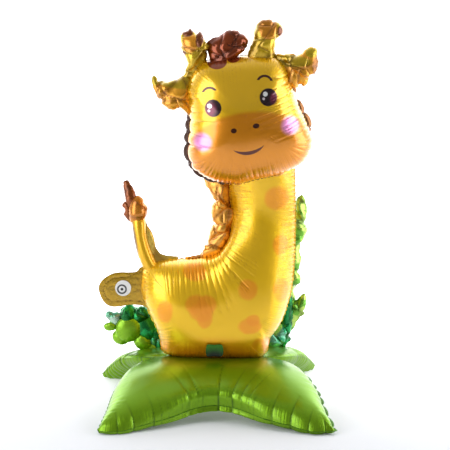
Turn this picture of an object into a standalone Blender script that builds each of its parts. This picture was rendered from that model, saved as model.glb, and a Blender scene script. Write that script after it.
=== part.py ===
"""Free-standing foil giraffe balloon on a four-footed cushion.

Every envelope is two film panels welded along one seam. Each panel is a grid
laid over the flat outline and lifted by the height of the inflated film.
Small lobes are joined on by Boolean unions. Metres, +Z up, front is -Y.
"""
import bmesh
import bpy
import numpy as np
from mathutils import Euler, Matrix, Vector

# Clear gap between neighbouring pieces
GAP = 0.0003

# Cushion
FOOT_SPREAD_X = 0.430
FOOT_SPREAD_Y = 0.450
WAIST_WIDTH = 0.196
WAIST_DEPTH = 0.325
RIDGE_HEIGHT = 0.078
FOOT_EDGE_HEIGHT = 0.006
CUSHION_TOP_RISE = 0.032
SIDE_FLANK_BULGE = 0.030
END_FLANK_BULGE = 0.010
CUSHION_UNDER_DROP = 0.038
SEAT_LENGTH = 0.060
SEAT_CLEARANCE = 0.0012

# Torso and neck
NECK_WIDTH = 0.116
NECK_THICKNESS = 0.096
NECK_RIGHT_X = 0.150
NECK_TOP_RISE = 0.425
TORSO_TOP_RISE = 0.177
TORSO_LENGTH = 0.277
TORSO_FOOT_WIDTH = 0.178
TORSO_THICKNESS = 0.126
MANE_LOBES = 7
MANE_LOBE_RADIUS = 0.0205
MANE_THICKNESS = 0.038

# Tail, web and inflation tab
TAIL_LENGTH = 0.082
TAIL_WIDTH = 0.026
TAIL_ROOT_DROP = 0.006
TAIL_ROOT_INSET = 0.012
TUFT_WIDTH = 0.046
TUFT_HEIGHT = 0.078
FILM_THICKNESS = 0.0022
TAB_LENGTH = 0.080
TAB_WIDTH = 0.064

# Head
HEAD_WIDTH = 0.219
HEAD_HEIGHT = 0.225
HEAD_FRONT_BULGE = 0.062
HEAD_BACK_BULGE = 0.048
HEAD_TO_NECK = 0.0015
HEAD_CENTRE_X = 0.068
HEAD_CENTRE_RISE = 0.4398
EAR_LENGTH = 0.076
EAR_WIDTH = 0.050
EAR_THICKNESS = 0.034
HORN_BULB_WIDTH = 0.042
HORN_STALK_WIDTH = 0.026
FORELOCK_WIDTH = 0.078
FORELOCK_HEIGHT = 0.056

# Plant
PLANT_BEHIND = 0.030
PLANT_THICKNESS = 0.030
LOW_LEAF_RISE = 0.030
LOW_LEAF_HEIGHT = 0.042
BUSH_WIDTH = 0.110
BUSH_HEIGHT = 0.090
BUSH_FROM_TORSO = 0.020
BUSH_RISE = 0.024
FROND_HEIGHT = 0.292
FROND_WIDTH = 0.046
FROND_ROOT_DROP = 0.008

# Small fittings
LINK_TAB_WIDTH = 0.030
LINK_TAB_HEIGHT = 0.025
LINK_TAB_THICKNESS = 0.0012
LINK_TAB_RISE = 0.004
LINK_TAB_ASIDE = 0.006
STICKER_DIAMETER = 0.029
STICKER_THICKNESS = 0.0005

# Shares of the cushion's spread: each foot tip, front left first, clockwise from above
FOOT_TIPS = ((-0.453, -0.515), (-0.492, 0.335), (0.472, 0.482), (0.500, -0.512))
WAISTS = ((-0.445, 0.010), (0.020, 0.480), (0.510, 0.000), (0.045, -0.529))

# Each flank from a waist to a tip: shares of the way and of the bulge
SIDE_FLANK = ((0.17, 0.80), (0.36, 1.00), (0.60, 0.77), (0.80, 0.32))
END_FLANK = ((0.18, -0.25), (0.40, 0.70), (0.62, 1.00), (0.84, 1.35))

# Head outline as shares of its width and height, clockwise from the fringe's corner
HEAD_OUTLINE = (
    (-0.388, 0.433), (-0.220, 0.474), (0.095, 0.500), (0.240, 0.465), (0.306, 0.370),
    (0.335, 0.255), (0.413, 0.061), (0.482, -0.090), (0.497, -0.200), (0.426, -0.328),
    (0.203, -0.429), (-0.077, -0.500), (-0.324, -0.458), (-0.460, -0.360), (-0.500, -0.211),
    (-0.480, 0.000), (-0.494, 0.200), (-0.464, 0.335),
)


def clear_scene():
    """Remove every object that is already in the file."""
    for item in list(bpy.data.objects):
        bpy.data.objects.remove(item, do_unlink=True)


def material(name, colour, roughness, metallic):
    """Return a Principled material."""
    mat = bpy.data.materials.new(name)
    mat.use_nodes = True
    shader = mat.node_tree.nodes["Principled BSDF"]
    shader.inputs["Base Color"].default_value = (*colour, 1.0)
    shader.inputs["Roughness"].default_value = roughness
    shader.inputs["Metallic"].default_value = metallic
    return mat


def through(points, count, closed=False):
    """Return count points on a smooth curve through the given points, evenly spaced."""
    knots = np.asarray(points, dtype=float)
    if closed:
        knots = np.vstack([knots[-1:], knots, knots[:2]])
    else:
        first = 2 * knots[0] - knots[1]
        last = 2 * knots[-1] - knots[-2]
        knots = np.vstack([first[None], knots, last[None]])
    dense = []
    steps = np.linspace(0.0, 1.0, 24, endpoint=False)[:, None]
    for i in range(1, len(knots) - 2):
        before, start, end, after = knots[i - 1:i + 3]
        tangent_a = (end - before) / 2
        tangent_b = (after - start) / 2
        cube = steps ** 3
        square = steps ** 2
        dense.append(
            (2 * cube - 3 * square + 1) * start
            + (cube - 2 * square + steps) * tangent_a
            + (3 * square - 2 * cube) * end
            + (cube - square) * tangent_b
        )
    dense.append(knots[-2][None])
    dense = np.vstack(dense)
    lengths = np.linalg.norm(np.diff(dense, axis=0), axis=1)
    run = np.concatenate([[0.0], np.cumsum(lengths)])
    wanted = np.linspace(0.0, run[-1], count + 1 if closed else count)
    if closed:
        wanted = wanted[:-1]
    return np.stack([np.interp(wanted, run, dense[:, k]) for k in range(dense.shape[1])], axis=1)


def finish_mesh(name, verts, faces):
    """Make an object of the faces, its normals turned outwards."""
    mesh = bpy.data.meshes.new(name)
    mesh.from_pydata([tuple(v) for v in verts], [], faces)
    work = bmesh.new()
    work.from_mesh(mesh)
    bmesh.ops.remove_doubles(work, verts=work.verts, dist=1e-7)
    bmesh.ops.recalc_face_normals(work, faces=work.faces)
    work.to_mesh(mesh)
    work.free()
    return bpy.data.objects.new(name, mesh)


def ring_pillow(name, outline, centre, rings, lift):
    """Two panels over a star-shaped outline; lift(x, y, t) gives both panels' points.

    t runs from 1 on the seam to 0 at the centre.
    """
    count = len(outline)
    verts = []
    faces = []
    panels = []
    shares = 1.0 - (np.arange(rings) / rings) ** 1.6
    for side in (0, 1):
        loops = []
        for j, t in enumerate(shares):
            if side == 1 and j == 0:
                loops.append(panels[0][0])
                continue
            flat = centre + (outline - centre) * t
            points = lift(flat[:, 0], flat[:, 1], np.full(count, t))[side]
            loops.append(list(range(len(verts), len(verts) + count)))
            verts.extend(points)
        pole = lift(np.array([centre[0]]), np.array([centre[1]]), np.zeros(1))[side]
        pole_index = len(verts)
        verts.extend(pole)
        for outer, inner in zip(loops[:-1], loops[1:]):
            for i in range(count):
                k = (i + 1) % count
                faces.append((outer[i], outer[k], inner[k], inner[i]))
        for i in range(count):
            faces.append((loops[-1][i], loops[-1][(i + 1) % count], pole_index))
        panels.append(loops)
    return finish_mesh(name, verts, faces)


def patch_pillow(name, grid, half):
    """Two panels over a four-sided grid in the XZ plane; half is the lift at each node."""
    rows, cols = grid.shape[:2]
    index = np.full((2, rows, cols), -1)
    verts = []
    for side, sign in ((0, -1.0), (1, 1.0)):
        for r in range(rows):
            for c in range(cols):
                edge = r in (0, rows - 1) or c in (0, cols - 1)
                if side == 1 and edge:
                    index[1, r, c] = index[0, r, c]
                    continue
                index[side, r, c] = len(verts)
                verts.append((grid[r, c, 0], sign * half[r, c], grid[r, c, 1]))
    faces = []
    for side in (0, 1):
        for r in range(rows - 1):
            for c in range(cols - 1):
                quad = index[side, r:r + 2, c:c + 2]
                ring = [int(q) for q in (quad[0, 0], quad[0, 1], quad[1, 1], quad[1, 0])]
                if r in (0, rows - 2) and c in (0, cols - 2):
                    # A corner cell is split through its inner node, so its two panels part there
                    inner = {(True, True): 2, (True, False): 3, (False, True): 1, (False, False): 0}[
                        (r == 0, c == 0)
                    ]
                    faces.append((ring[inner], ring[(inner + 1) % 4], ring[(inner + 2) % 4]))
                    faces.append((ring[inner], ring[(inner + 2) % 4], ring[(inner + 3) % 4]))
                    continue
                faces.append(tuple(ring))
    return finish_mesh(name, verts, faces)


def ellipsoid(name, centre, semi, turn=0.0, segments=10, rings=6):
    """A ball scaled to three half sizes and turned about the Y axis (degrees)."""
    mesh = bpy.data.meshes.new(name)
    work = bmesh.new()
    bmesh.ops.create_uvsphere(work, u_segments=segments, v_segments=rings, radius=1.0)
    bmesh.ops.scale(work, verts=work.verts, vec=Vector(semi))
    spin = Euler((0.0, np.radians(turn), 0.0)).to_matrix()
    bmesh.ops.rotate(work, verts=work.verts, matrix=spin, cent=(0.0, 0.0, 0.0))
    bmesh.ops.translate(work, verts=work.verts, vec=Vector(centre))
    bmesh.ops.recalc_face_normals(work, faces=work.faces)
    work.to_mesh(mesh)
    work.free()
    return bpy.data.objects.new(name, mesh)


def plate(name, outline, y_middle, thickness):
    """A flat sheet with the given XZ outline, its faces thickness apart."""
    count = len(outline)
    verts = []
    for y in (y_middle - thickness / 2, y_middle + thickness / 2):
        verts.extend((x, y, z) for x, z in outline)
    faces = [tuple(range(count)), tuple(range(2 * count - 1, count - 1, -1))]
    for i in range(count):
        k = (i + 1) % count
        faces.append((i, k, count + k, count + i))
    return finish_mesh(name, verts, faces)


def tube(name, path, radii, squash, sides=8):
    """A closed round tube along an XZ path, squashed in Y."""
    path = np.asarray(path)
    along = np.gradient(path, axis=0)
    along /= np.linalg.norm(along, axis=1)[:, None]
    across = np.stack([along[:, 1], -along[:, 0]], axis=1)
    angles = np.linspace(0.0, 2 * np.pi, sides, endpoint=False)
    verts = []
    faces = []
    for (x, z), (ax, az), radius in zip(path, across, radii):
        for angle in angles:
            reach = radius * np.cos(angle)
            verts.append((x + ax * reach, squash * radius * np.sin(angle), z + az * reach))
    last = (len(path) - 1) * sides
    for r in range(len(path) - 1):
        for i in range(sides):
            k = (i + 1) % sides
            low = r * sides
            faces.append((low + i, low + k, low + sides + k, low + sides + i))
    faces.append(tuple(range(sides)))
    faces.append(tuple(range(last, last + sides)))
    return finish_mesh(name, verts, faces)


def cushion_profile(x, y, t):
    """Top and underside points of the cushion at plan positions; t is 1 on the seam."""
    tips = np.array(FOOT_TIPS) * (FOOT_SPREAD_X, FOOT_SPREAD_Y)
    front = np.interp(x, tips[[0, 3], 0], -tips[[0, 3], 1])
    back = np.interp(x, tips[[1, 2], 0], tips[[1, 2], 1])
    reach = np.clip(np.abs(y) / np.where(y < 0.0, front, back), 0.0, 1.0)
    middle = FOOT_EDGE_HEIGHT + (RIDGE_HEIGHT - FOOT_EDGE_HEIGHT) * (1.0 - reach ** 1.35)
    dome = np.sqrt(np.clip(1.0 - t ** 2.0, 0.0, 1.0))
    seat = 1.0 - 0.8 * np.exp(-((y / SEAT_LENGTH) ** 2))
    top = middle + CUSHION_TOP_RISE * dome * seat
    under = np.maximum(middle - CUSHION_UNDER_DROP * dome, 0.0)
    return np.stack([x, y, top], axis=1), np.stack([x, y, under], axis=1)


def flank(waist, tip, turn):
    """Points from a waist towards a foot's tip; turn is 1 where the tip comes first clockwise."""
    on_side = abs(waist[0]) > abs(waist[1])
    shares, bulge = (SIDE_FLANK, SIDE_FLANK_BULGE) if on_side else (END_FLANK, END_FLANK_BULGE)
    along = tip - waist
    outward = turn * np.array([along[1], -along[0]]) / np.linalg.norm(along)
    return [waist + along * share + outward * swell * bulge for share, swell in shares]


def cushion_outline():
    """Plan outline: four sides, each from a foot's tip over a waist to the next foot's tip."""
    tips = np.array(FOOT_TIPS) * (FOOT_SPREAD_X, FOOT_SPREAD_Y)
    waists = np.array(WAISTS) * (WAIST_WIDTH, WAIST_DEPTH)
    sides = []
    for waist, first, second in zip(waists, tips, np.roll(tips, -1, axis=0)):
        points = [first, *flank(waist, first, 1)[::-1], waist, *flank(waist, second, -1), second]
        sides.append(through(points, 19)[:-1])
    return np.vstack(sides)


def seat_height():
    """Height at which the torso's underside rests, just above the cushion's middle."""
    return RIDGE_HEIGHT + 0.2 * CUSHION_TOP_RISE + SEAT_CLEARANCE


def cushion_middle():
    """Where the cushion's panels are highest, in plan."""
    return np.array([0.01 * FOOT_SPREAD_X, -0.01 * FOOT_SPREAD_Y])


def make_base():
    """The four-footed cushion."""
    return ring_pillow("base", cushion_outline(), cushion_middle(), 8, cushion_profile)


def make_clearance():
    """A block that fills the cushion and the space just above its top, to trim what rests on it."""
    centre = cushion_middle()
    outline = centre + (cushion_outline() - centre) * (1.0 + 4.0 * GAP / FOOT_SPREAD_X)

    def lift(x, y, t):
        top, under = cushion_profile(x, y, t)
        top[:, 2] += 4.0 * GAP * (1.0 - t ** 8)
        under[:, 2] -= RIDGE_HEIGHT * (1.0 - t ** 8)
        return top, under

    return ring_pillow("clearance", outline, centre, 8, lift)


def body_chains():
    """The four sides of the torso-and-neck outline in the XZ plane."""
    floor = seat_height()
    right = NECK_RIGHT_X
    left = right - NECK_WIDTH
    rear = right - TORSO_LENGTH
    top = floor + TORSO_TOP_RISE
    shoulder = floor + 0.90 * NECK_TOP_RISE
    foot_right = right - 0.21 * TORSO_LENGTH
    foot_left = foot_right - TORSO_FOOT_WIDTH
    bend = 0.25 * NECK_WIDTH
    inner = [
        (left, shoulder), (left + 0.01 * NECK_WIDTH, floor + 0.63 * NECK_TOP_RISE),
        (left + 0.02 * NECK_WIDTH, top + 2.0 * bend), (left - 0.10 * NECK_WIDTH, top + 0.85 * bend),
        (left - 0.40 * NECK_WIDTH, top + 0.12 * bend), (rear + 0.18 * TORSO_LENGTH, top - 0.10 * bend),
        (rear + 0.01 * TORSO_LENGTH, top - 0.50 * bend),
    ]
    outer = [
        (right - 0.02 * NECK_WIDTH, shoulder), (right, floor + 0.62 * NECK_TOP_RISE),
        (right, top), (right - 0.03 * TORSO_LENGTH, floor + 0.60 * TORSO_TOP_RISE),
        (right - 0.13 * TORSO_LENGTH, floor + 0.24 * TORSO_TOP_RISE),
        (foot_right, floor + 0.012 * TORSO_TOP_RISE), (foot_right - 0.2 * TORSO_FOOT_WIDTH, floor),
        (foot_left + 0.2 * TORSO_FOOT_WIDTH, floor), (foot_left, floor + 0.02 * TORSO_TOP_RISE),
    ]
    start = [
        inner[0], (left + 0.22 * NECK_WIDTH, shoulder + 0.085 * NECK_TOP_RISE),
        (right - 0.24 * NECK_WIDTH, shoulder + 0.085 * NECK_TOP_RISE), outer[0],
    ]
    end = [
        inner[-1], (rear, floor + 0.72 * TORSO_TOP_RISE),
        (rear + 0.045 * TORSO_LENGTH, floor + 0.48 * TORSO_TOP_RISE), outer[-1],
    ]
    return inner, outer, start, end


def coons(inner, outer, start, end, rows, cols):
    """Grid of points between four border curves, and its two shares."""
    left = through(inner, rows)
    right = through(outer, rows)
    first = through(start, cols)
    last = through(end, cols)
    p = np.linspace(0.0, 1.0, rows)[:, None, None]
    c = np.linspace(0.0, 1.0, cols)[None, :, None]
    across = (1 - c) * left[:, None] + c * right[:, None]
    along = (1 - p) * first[None] + p * last[None]
    corners = (
        (1 - p) * ((1 - c) * left[0] + c * right[0]) + p * ((1 - c) * left[-1] + c * right[-1])
    )
    return across + along - corners, p[..., 0], c[..., 0]


def body_half(p, c):
    """Half thickness of the torso and neck over the patch's two shares."""
    blend = np.clip((p - 0.15) / 0.45, 0.0, 1.0)
    blend = blend * blend * (3 - 2 * blend)
    full = NECK_THICKNESS / 2 + (TORSO_THICKNESS - NECK_THICKNESS) / 2 * blend
    side = np.sqrt(np.clip(1.0 - np.abs(2 * c - 1) ** 2.3, 0.0, 1.0))
    near = 1.0 - np.clip(p / 0.16, 0.0, 1.0)
    far = 1.0 - np.clip((1.0 - p) / 0.20, 0.0, 1.0)
    return full * side * np.sqrt(1.0 - near ** 2.2) * np.sqrt(1.0 - far ** 2.8)


def make_body():
    """Torso, neck, mane, tail, tuft, film web and inflation tab: main object and its parts."""
    inner, outer, start, end = body_chains()
    grid, p, c = coons(inner, outer, start, end, 32, 12)
    body = patch_pillow("body", grid, body_half(p, c))
    parts = []
    edge = through(inner, 61)
    along = np.gradient(edge, axis=0)
    along /= np.linalg.norm(along, axis=1)[:, None]
    radius = MANE_LOBE_RADIUS
    for i in range(MANE_LOBES):
        share = 0.14 + 0.57 * i / (MANE_LOBES - 1)
        k = int(round(share * 60))
        outward = np.array([along[k, 1], -along[k, 0]])
        if outward[0] > 0 or outward[1] < -0.5:
            outward = -outward
        size = radius * (1.0 - 0.5 * (i / (MANE_LOBES - 1)) ** 3)
        spot = edge[k] + outward * size * 0.75
        turn = np.degrees(np.arctan2(along[k, 0], along[k, 1]))
        semi = (size, MANE_THICKNESS / 2, size * 1.02)
        behind = 0.013 * i * MANE_THICKNESS
        parts.append(ellipsoid(f"mane_{i}", (spot[0], behind, spot[1]), semi, turn))
    root = np.array(inner[-1])
    foot = root + np.array([0.045 * TORSO_LENGTH, -TAIL_ROOT_DROP])
    tip = foot + np.array([-0.24, 1.0]) * TAIL_LENGTH
    bend = (foot + tip) / 2 + np.array([0.035 * TAIL_LENGTH, 0.0])
    inside = foot + np.array([TAIL_ROOT_INSET, -1.5 * TAIL_ROOT_INSET])
    path = through([inside, foot, bend, tip], 7)
    wide = TAIL_WIDTH / 2
    parts.append(tube("tail", path, [wide * 1.15, wide * 1.2, wide, wide, wide, wide, wide * 0.9], 0.72))
    for i, (dx, dz, sx, sz, turn) in enumerate((
        (-0.02, 0.22, 0.48, 0.30, 0.0), (0.15, 0.42, 0.27, 0.20, 25.0), (-0.33, 0.24, 0.26, 0.17, 0.0),
        (-0.02, 0.55, 0.27, 0.24, -15.0), (-0.26, 0.76, 0.16, 0.30, -22.0),
    )):
        spot = tip + np.array([dx * TUFT_WIDTH, dz * TUFT_HEIGHT])
        semi = (sx * TUFT_WIDTH, 0.16 * TUFT_WIDTH + 0.35 * sx * TUFT_WIDTH, sz * TUFT_HEIGHT)
        parts.append(ellipsoid(f"tuft_{i}", (spot[0], 0.0, spot[1]), semi, turn))
    web = [
        tip + np.array([0.10, 0.05]) * TAIL_LENGTH, bend + np.array([0.30, 0.0]) * TAIL_LENGTH,
        foot + np.array([0.36, 0.28]) * TAIL_LENGTH, foot + np.array([0.75, 0.12]) * TAIL_LENGTH,
        foot + np.array([0.60, -0.20]) * TAIL_LENGTH, foot + np.array([0.0, -0.20]) * TAIL_LENGTH,
        foot + np.array([-0.10, 0.30]) * TAIL_LENGTH,
    ]
    parts.append(plate("web", web, 0.0, FILM_THICKNESS))
    parts.append(plate("tab", tab_outline(), 0.0, FILM_THICKNESS))
    return body, parts


def tab_centre():
    """Middle of the inflation tab's round end."""
    inner, _, _, _ = body_chains()
    return inner[-1][0] - 0.45 * TAB_LENGTH, inner[-1][1] - 0.64 * TAB_WIDTH


def tab_outline():
    """Inflation tab outline, from the torso out to the tab's round end and back."""
    x, z = tab_centre()
    half = TAB_WIDTH / 2
    shares = (
        (0.62, 0.98), (0.30, 0.99), (0.02, 0.96), (-0.28, 0.82), (-0.48, 0.46), (-0.55, 0.08),
        (-0.50, -0.40), (-0.34, -0.78), (-0.12, -0.98), (0.18, -0.96), (0.62, -0.94),
    )
    return [(x + TAB_LENGTH * a, z + half * b) for a, b in shares]


def head_depth():
    """The plane of the head's seam, in front of the neck."""
    return -(NECK_THICKNESS / 2 + HEAD_BACK_BULGE + GAP + HEAD_TO_NECK)


def head_place(a, b):
    """World XZ position of a share of the head's width and height."""
    return HEAD_CENTRE_X + a * HEAD_WIDTH, seat_height() + HEAD_CENTRE_RISE + b * HEAD_HEIGHT


def make_head():
    """Face pillow, ears, horns and forelock: main object and its parts."""
    depth = head_depth()
    outline = through([head_place(a, b) for a, b in HEAD_OUTLINE], 44, closed=True)

    def lift(x, z, t):
        dome = np.sqrt(np.clip(1.0 - t ** 2.6, 0.0, 1.0))
        front = np.stack([x, depth - HEAD_FRONT_BULGE * dome, z], axis=1)
        back = np.stack([x, depth + HEAD_BACK_BULGE * dome, z], axis=1)
        return front, back

    head = ring_pillow("head", outline, np.array(head_place(0.0, 0.0)), 6, lift)
    parts = []
    ear = EAR_LENGTH / 2
    wide = EAR_WIDTH / 2
    thick = EAR_THICKNESS / 2
    left = head_place(-0.49, 0.215)
    right = head_place(0.335, 0.400)
    lobes = (
        (left, -0.22, -0.08, 0.58, 1.20, 0.0), (left, -0.54, -0.04, 0.58, 0.86, 8.0),
        (left, -0.78, 0.30, 0.32, 0.54, -12.0), (left, -0.40, 0.28, 0.72, 0.42, 4.0),
        (right, 0.00, -0.04, 0.68, 1.02, 0.0), (right, 0.30, 0.02, 0.58, 1.04, 10.0),
        (right, 0.47, 0.34, 0.26, 0.62, 10.0), (right, 0.38, -0.34, 0.36, 0.50, 0.0),
    )
    for i, ((x, z), dx, dz, sx, sz, turn) in enumerate(lobes):
        spot = (x + dx * EAR_LENGTH, depth, z + dz * EAR_WIDTH)
        parts.append(ellipsoid(f"ear_{i}", spot, (sx * ear, thick, sz * wide), turn))
    bulb = HORN_BULB_WIDTH / 2
    stalk = HORN_STALK_WIDTH / 2
    horns = (
        (head_place(-0.415, 0.435), head_place(-0.46, 0.600), 0.84, 1.05, head_place(-0.412, 0.628)),
        (head_place(0.118, 0.455), head_place(0.139, 0.668), 1.22, 1.05, head_place(0.165, 0.690)),
    )
    for i, (low, high, sx, sz, lobe) in enumerate(horns):
        low = np.array(low)
        high = np.array(high)
        path = through([low - (high - low) * 0.35, low, high], 6)
        parts.append(tube(f"stalk_{i}", path, np.full(6, stalk), 0.85))
        parts[-1].data.transform(Matrix.Translation((0.0, depth, 0.0)))
        spot = (high[0], depth, high[1])
        parts.append(ellipsoid(f"bulb_{i}", spot, (bulb * sx, bulb * 0.95, bulb * sz)))
        spot = (lobe[0], depth, lobe[1])
        parts.append(ellipsoid(f"bulb_lobe_{i}", spot, (bulb * 0.58, bulb * 0.6, bulb * 0.62)))
    for i, (a, b, sx, sz) in enumerate((
        (-0.165, 0.545, 0.42, 0.50), (-0.270, 0.520, 0.24, 0.38), (-0.080, 0.555, 0.26, 0.42),
    )):
        x, z = head_place(a, b)
        semi = (sx * FORELOCK_WIDTH, 0.30 * FORELOCK_HEIGHT, sz * FORELOCK_HEIGHT)
        parts.append(ellipsoid(f"forelock_{i}", (x, depth, z), semi))
    return head, parts


def make_foliage():
    """Bush at the left, tall frond at the right and the low leaf that joins them."""
    floor = seat_height()
    depth = TORSO_THICKNESS / 2 + PLANT_BEHIND
    thick = PLANT_THICKNESS / 2
    middle = NECK_RIGHT_X - TORSO_LENGTH / 2
    semi = (0.62 * TORSO_LENGTH, thick * 0.8, LOW_LEAF_HEIGHT / 2)
    spine = ellipsoid("foliage", (middle, depth, floor + LOW_LEAF_RISE), semi)
    parts = []
    bush_x = NECK_RIGHT_X - TORSO_LENGTH - BUSH_FROM_TORSO
    bush_z = floor + BUSH_RISE
    bush = (
        (-0.08, 0.05, 0.27, 0.31), (-0.33, 0.18, 0.12, 0.18), (-0.34, -0.08, 0.14, 0.12),
        (-0.14, 0.34, 0.17, 0.18), (0.16, 0.16, 0.22, 0.36), (0.14, -0.12, 0.22, 0.22),
        (0.36, -0.14, 0.17, 0.26), (-0.12, -0.17, 0.17, 0.16),
    )
    for i, (a, b, sx, sz) in enumerate(bush):
        aside = 0.05 * PLANT_THICKNESS * (i % 3 - 1)
        spot = (bush_x + a * BUSH_WIDTH, depth + aside, bush_z + b * BUSH_HEIGHT)
        semi = (sx * BUSH_WIDTH, thick * (0.9 if i else 1.0), sz * BUSH_HEIGHT)
        parts.append(ellipsoid(f"bush_{i}", spot, semi))
    frond_x = NECK_RIGHT_X - 0.1 * FROND_WIDTH
    frond_z = floor - FROND_ROOT_DROP
    frond = (
        (0.28, 0.925, 0.26, 0.075, 8.0), (0.14, 0.790, 0.32, 0.085, 14.0), (0.10, 0.665, 0.38, 0.070, 0.0),
        (0.00, 0.555, 0.36, 0.070, 12.0), (-0.04, 0.440, 0.38, 0.070, 0.0), (0.20, 0.325, 0.42, 0.075, 14.0),
        (-0.10, 0.205, 0.50, 0.088, 22.0), (-0.46, 0.100, 0.42, 0.080, 0.0),
    )
    for i, (a, b, sx, sz, turn) in enumerate(frond):
        aside = 0.04 * PLANT_THICKNESS * (i % 2)
        spot = (frond_x + a * FROND_WIDTH, depth + aside, frond_z + b * FROND_HEIGHT)
        semi = (sx * FROND_WIDTH, thick * 0.85, sz * FROND_HEIGHT)
        parts.append(ellipsoid(f"frond_{i}", spot, semi, turn))
    spot = (frond_x - 0.28 * FROND_WIDTH, depth, frond_z + 0.46 * FROND_HEIGHT)
    semi = (0.40 * FROND_WIDTH, thick * 0.7, 0.44 * FROND_HEIGHT)
    parts.append(ellipsoid("frond_stem", spot, semi, 4.0))
    return spine, parts


def make_link_tab():
    """Small film tab between the cushion and the torso, at the front."""
    low = seat_height() + LINK_TAB_RISE
    half = LINK_TAB_WIDTH / 2
    outline = [
        (-0.9 * half, low), (1.0 * half, low), (1.0 * half, low + LINK_TAB_HEIGHT),
        (-0.8 * half, low + LINK_TAB_HEIGHT),
    ]
    front = -(TORSO_THICKNESS / 2 + LINK_TAB_THICKNESS / 2 + GAP)
    outline = [(x + LINK_TAB_ASIDE, z) for x, z in outline]
    return plate("base_tab", outline, front, LINK_TAB_THICKNESS)


def make_sticker():
    """Round sticker on the front of the inflation tab."""
    x, z = tab_centre()
    mesh = bpy.data.meshes.new("valve_sticker")
    work = bmesh.new()
    radius = STICKER_DIAMETER / 2
    bmesh.ops.create_cone(
        work, cap_ends=True, segments=32, radius1=radius, radius2=radius, depth=STICKER_THICKNESS
    )
    turn = Euler((np.radians(90.0), 0.0, 0.0)).to_matrix()
    bmesh.ops.rotate(work, verts=work.verts, matrix=turn, cent=(0.0, 0.0, 0.0))
    y = -(FILM_THICKNESS / 2 + GAP + STICKER_THICKNESS / 2)
    bmesh.ops.translate(work, verts=work.verts, vec=Vector((x + 0.01 * TAB_LENGTH, y, z)))
    work.to_mesh(mesh)
    work.free()
    return bpy.data.objects.new("valve_sticker", mesh)


def join(target, parts, tools):
    """Union each part onto the target with its own modifier."""
    for part in parts:
        tools.objects.link(part)
        part.hide_render = True
        part.display_type = "WIRE"
        union = target.modifiers.new(part.name, "BOOLEAN")
        union.operation = "UNION"
        union.solver = "EXACT"
        union.object = part


def trim(target, cutter, tools):
    """Cut the target clear of a piece it rests on."""
    tools.objects.link(cutter)
    cutter.hide_render = True
    cutter.display_type = "WIRE"
    cut = target.modifiers.new(cutter.name, "BOOLEAN")
    cut.operation = "DIFFERENCE"
    cut.solver = "EXACT"
    cut.object = cutter


def settle(objects, tools):
    """Move everything so that the box's bottom centre is the origin."""
    bpy.context.view_layer.update()
    graph = bpy.context.evaluated_depsgraph_get()
    corners = []
    for item in objects:
        mesh = item.evaluated_get(graph).to_mesh()
        points = np.empty(len(mesh.vertices) * 3)
        mesh.vertices.foreach_get("co", points)
        corners.append(points.reshape(-1, 3))
    points = np.vstack(corners)
    low = points.min(axis=0)
    high = points.max(axis=0)
    shift = Vector((-(low[0] + high[0]) / 2, -(low[1] + high[1]) / 2, -low[2]))
    for item in list(objects) + list(tools):
        item.location = item.location + shift


def main():
    """Build the balloon."""
    clear_scene()
    shown = bpy.data.collections.new("giraffe_foil_balloon")
    tools = bpy.data.collections.new("lobes")
    bpy.context.scene.collection.children.link(shown)
    bpy.context.scene.collection.children.link(tools)
    tools.hide_render = True
    body, body_parts = make_body()
    head, head_parts = make_head()
    foliage, leaf_parts = make_foliage()
    pieces = (
        (make_base(), [], material("green_foil", (0.15, 0.33, 0.01), 0.25, 0.8)),
        (body, body_parts, material("yellow_foil", (0.75, 0.45, 0.01), 0.25, 0.8)),
        (head, head_parts, material("face_foil", (0.75, 0.42, 0.01), 0.25, 0.8)),
        (foliage, leaf_parts, material("leaf_foil", (0.02, 0.16, 0.05), 0.3, 0.8)),
        (make_link_tab(), [], material("dark_green_film", (0.01, 0.08, 0.01), 0.4, 0.2)),
        (make_sticker(), [], material("white_paper", (0.8, 0.8, 0.8), 0.6, 0.0)),
    )
    for item, parts, finish in pieces:
        shown.objects.link(item)
        item.data.materials.append(finish)
        join(item, parts, tools)
    trim(foliage, make_clearance(), tools)
    settle([item for item, _, _ in pieces], list(tools.objects))


main()
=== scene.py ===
"""Looks of the foil giraffe balloon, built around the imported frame.

Every envelope is two panels of metallised film, welded along one seam and blown up. The big
ones are grids lifted by a dome formula, the small lobes are flat outlines blown up by a soap
film formula. Gathers then pinch the film where its weld shortens it, and crumples crease the
lobes that are too narrow to fill out.
"""

import logging
from dataclasses import dataclass, replace
from enum import Enum
from typing import ClassVar, Optional, Sequence

import bmesh
import bpy
import numpy as np
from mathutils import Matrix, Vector, geometry

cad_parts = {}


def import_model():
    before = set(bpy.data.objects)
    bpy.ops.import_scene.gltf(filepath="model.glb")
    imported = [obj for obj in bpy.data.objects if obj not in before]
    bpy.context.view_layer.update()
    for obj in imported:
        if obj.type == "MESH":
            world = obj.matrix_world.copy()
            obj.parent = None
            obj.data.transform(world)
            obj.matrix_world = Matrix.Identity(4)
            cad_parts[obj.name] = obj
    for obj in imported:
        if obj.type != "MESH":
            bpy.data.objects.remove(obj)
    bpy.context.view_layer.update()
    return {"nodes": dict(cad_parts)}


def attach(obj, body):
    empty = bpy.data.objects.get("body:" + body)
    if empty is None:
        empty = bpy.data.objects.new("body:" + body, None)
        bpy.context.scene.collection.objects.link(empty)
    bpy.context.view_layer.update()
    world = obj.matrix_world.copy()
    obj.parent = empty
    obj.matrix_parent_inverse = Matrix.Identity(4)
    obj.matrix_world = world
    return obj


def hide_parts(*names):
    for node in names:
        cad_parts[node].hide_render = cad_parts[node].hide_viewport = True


LOG = logging.getLogger("giraffe_balloon")
MM = 0.001
ROOT = "root"

# How finely curves are followed, how many vertices are compared with a seam at once, and what
# share of its rise counts in a vertex's distance from the seam
CURVE_STEPS = 24
BATCH = 4000
RISE_SHARE = 0.3

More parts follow.
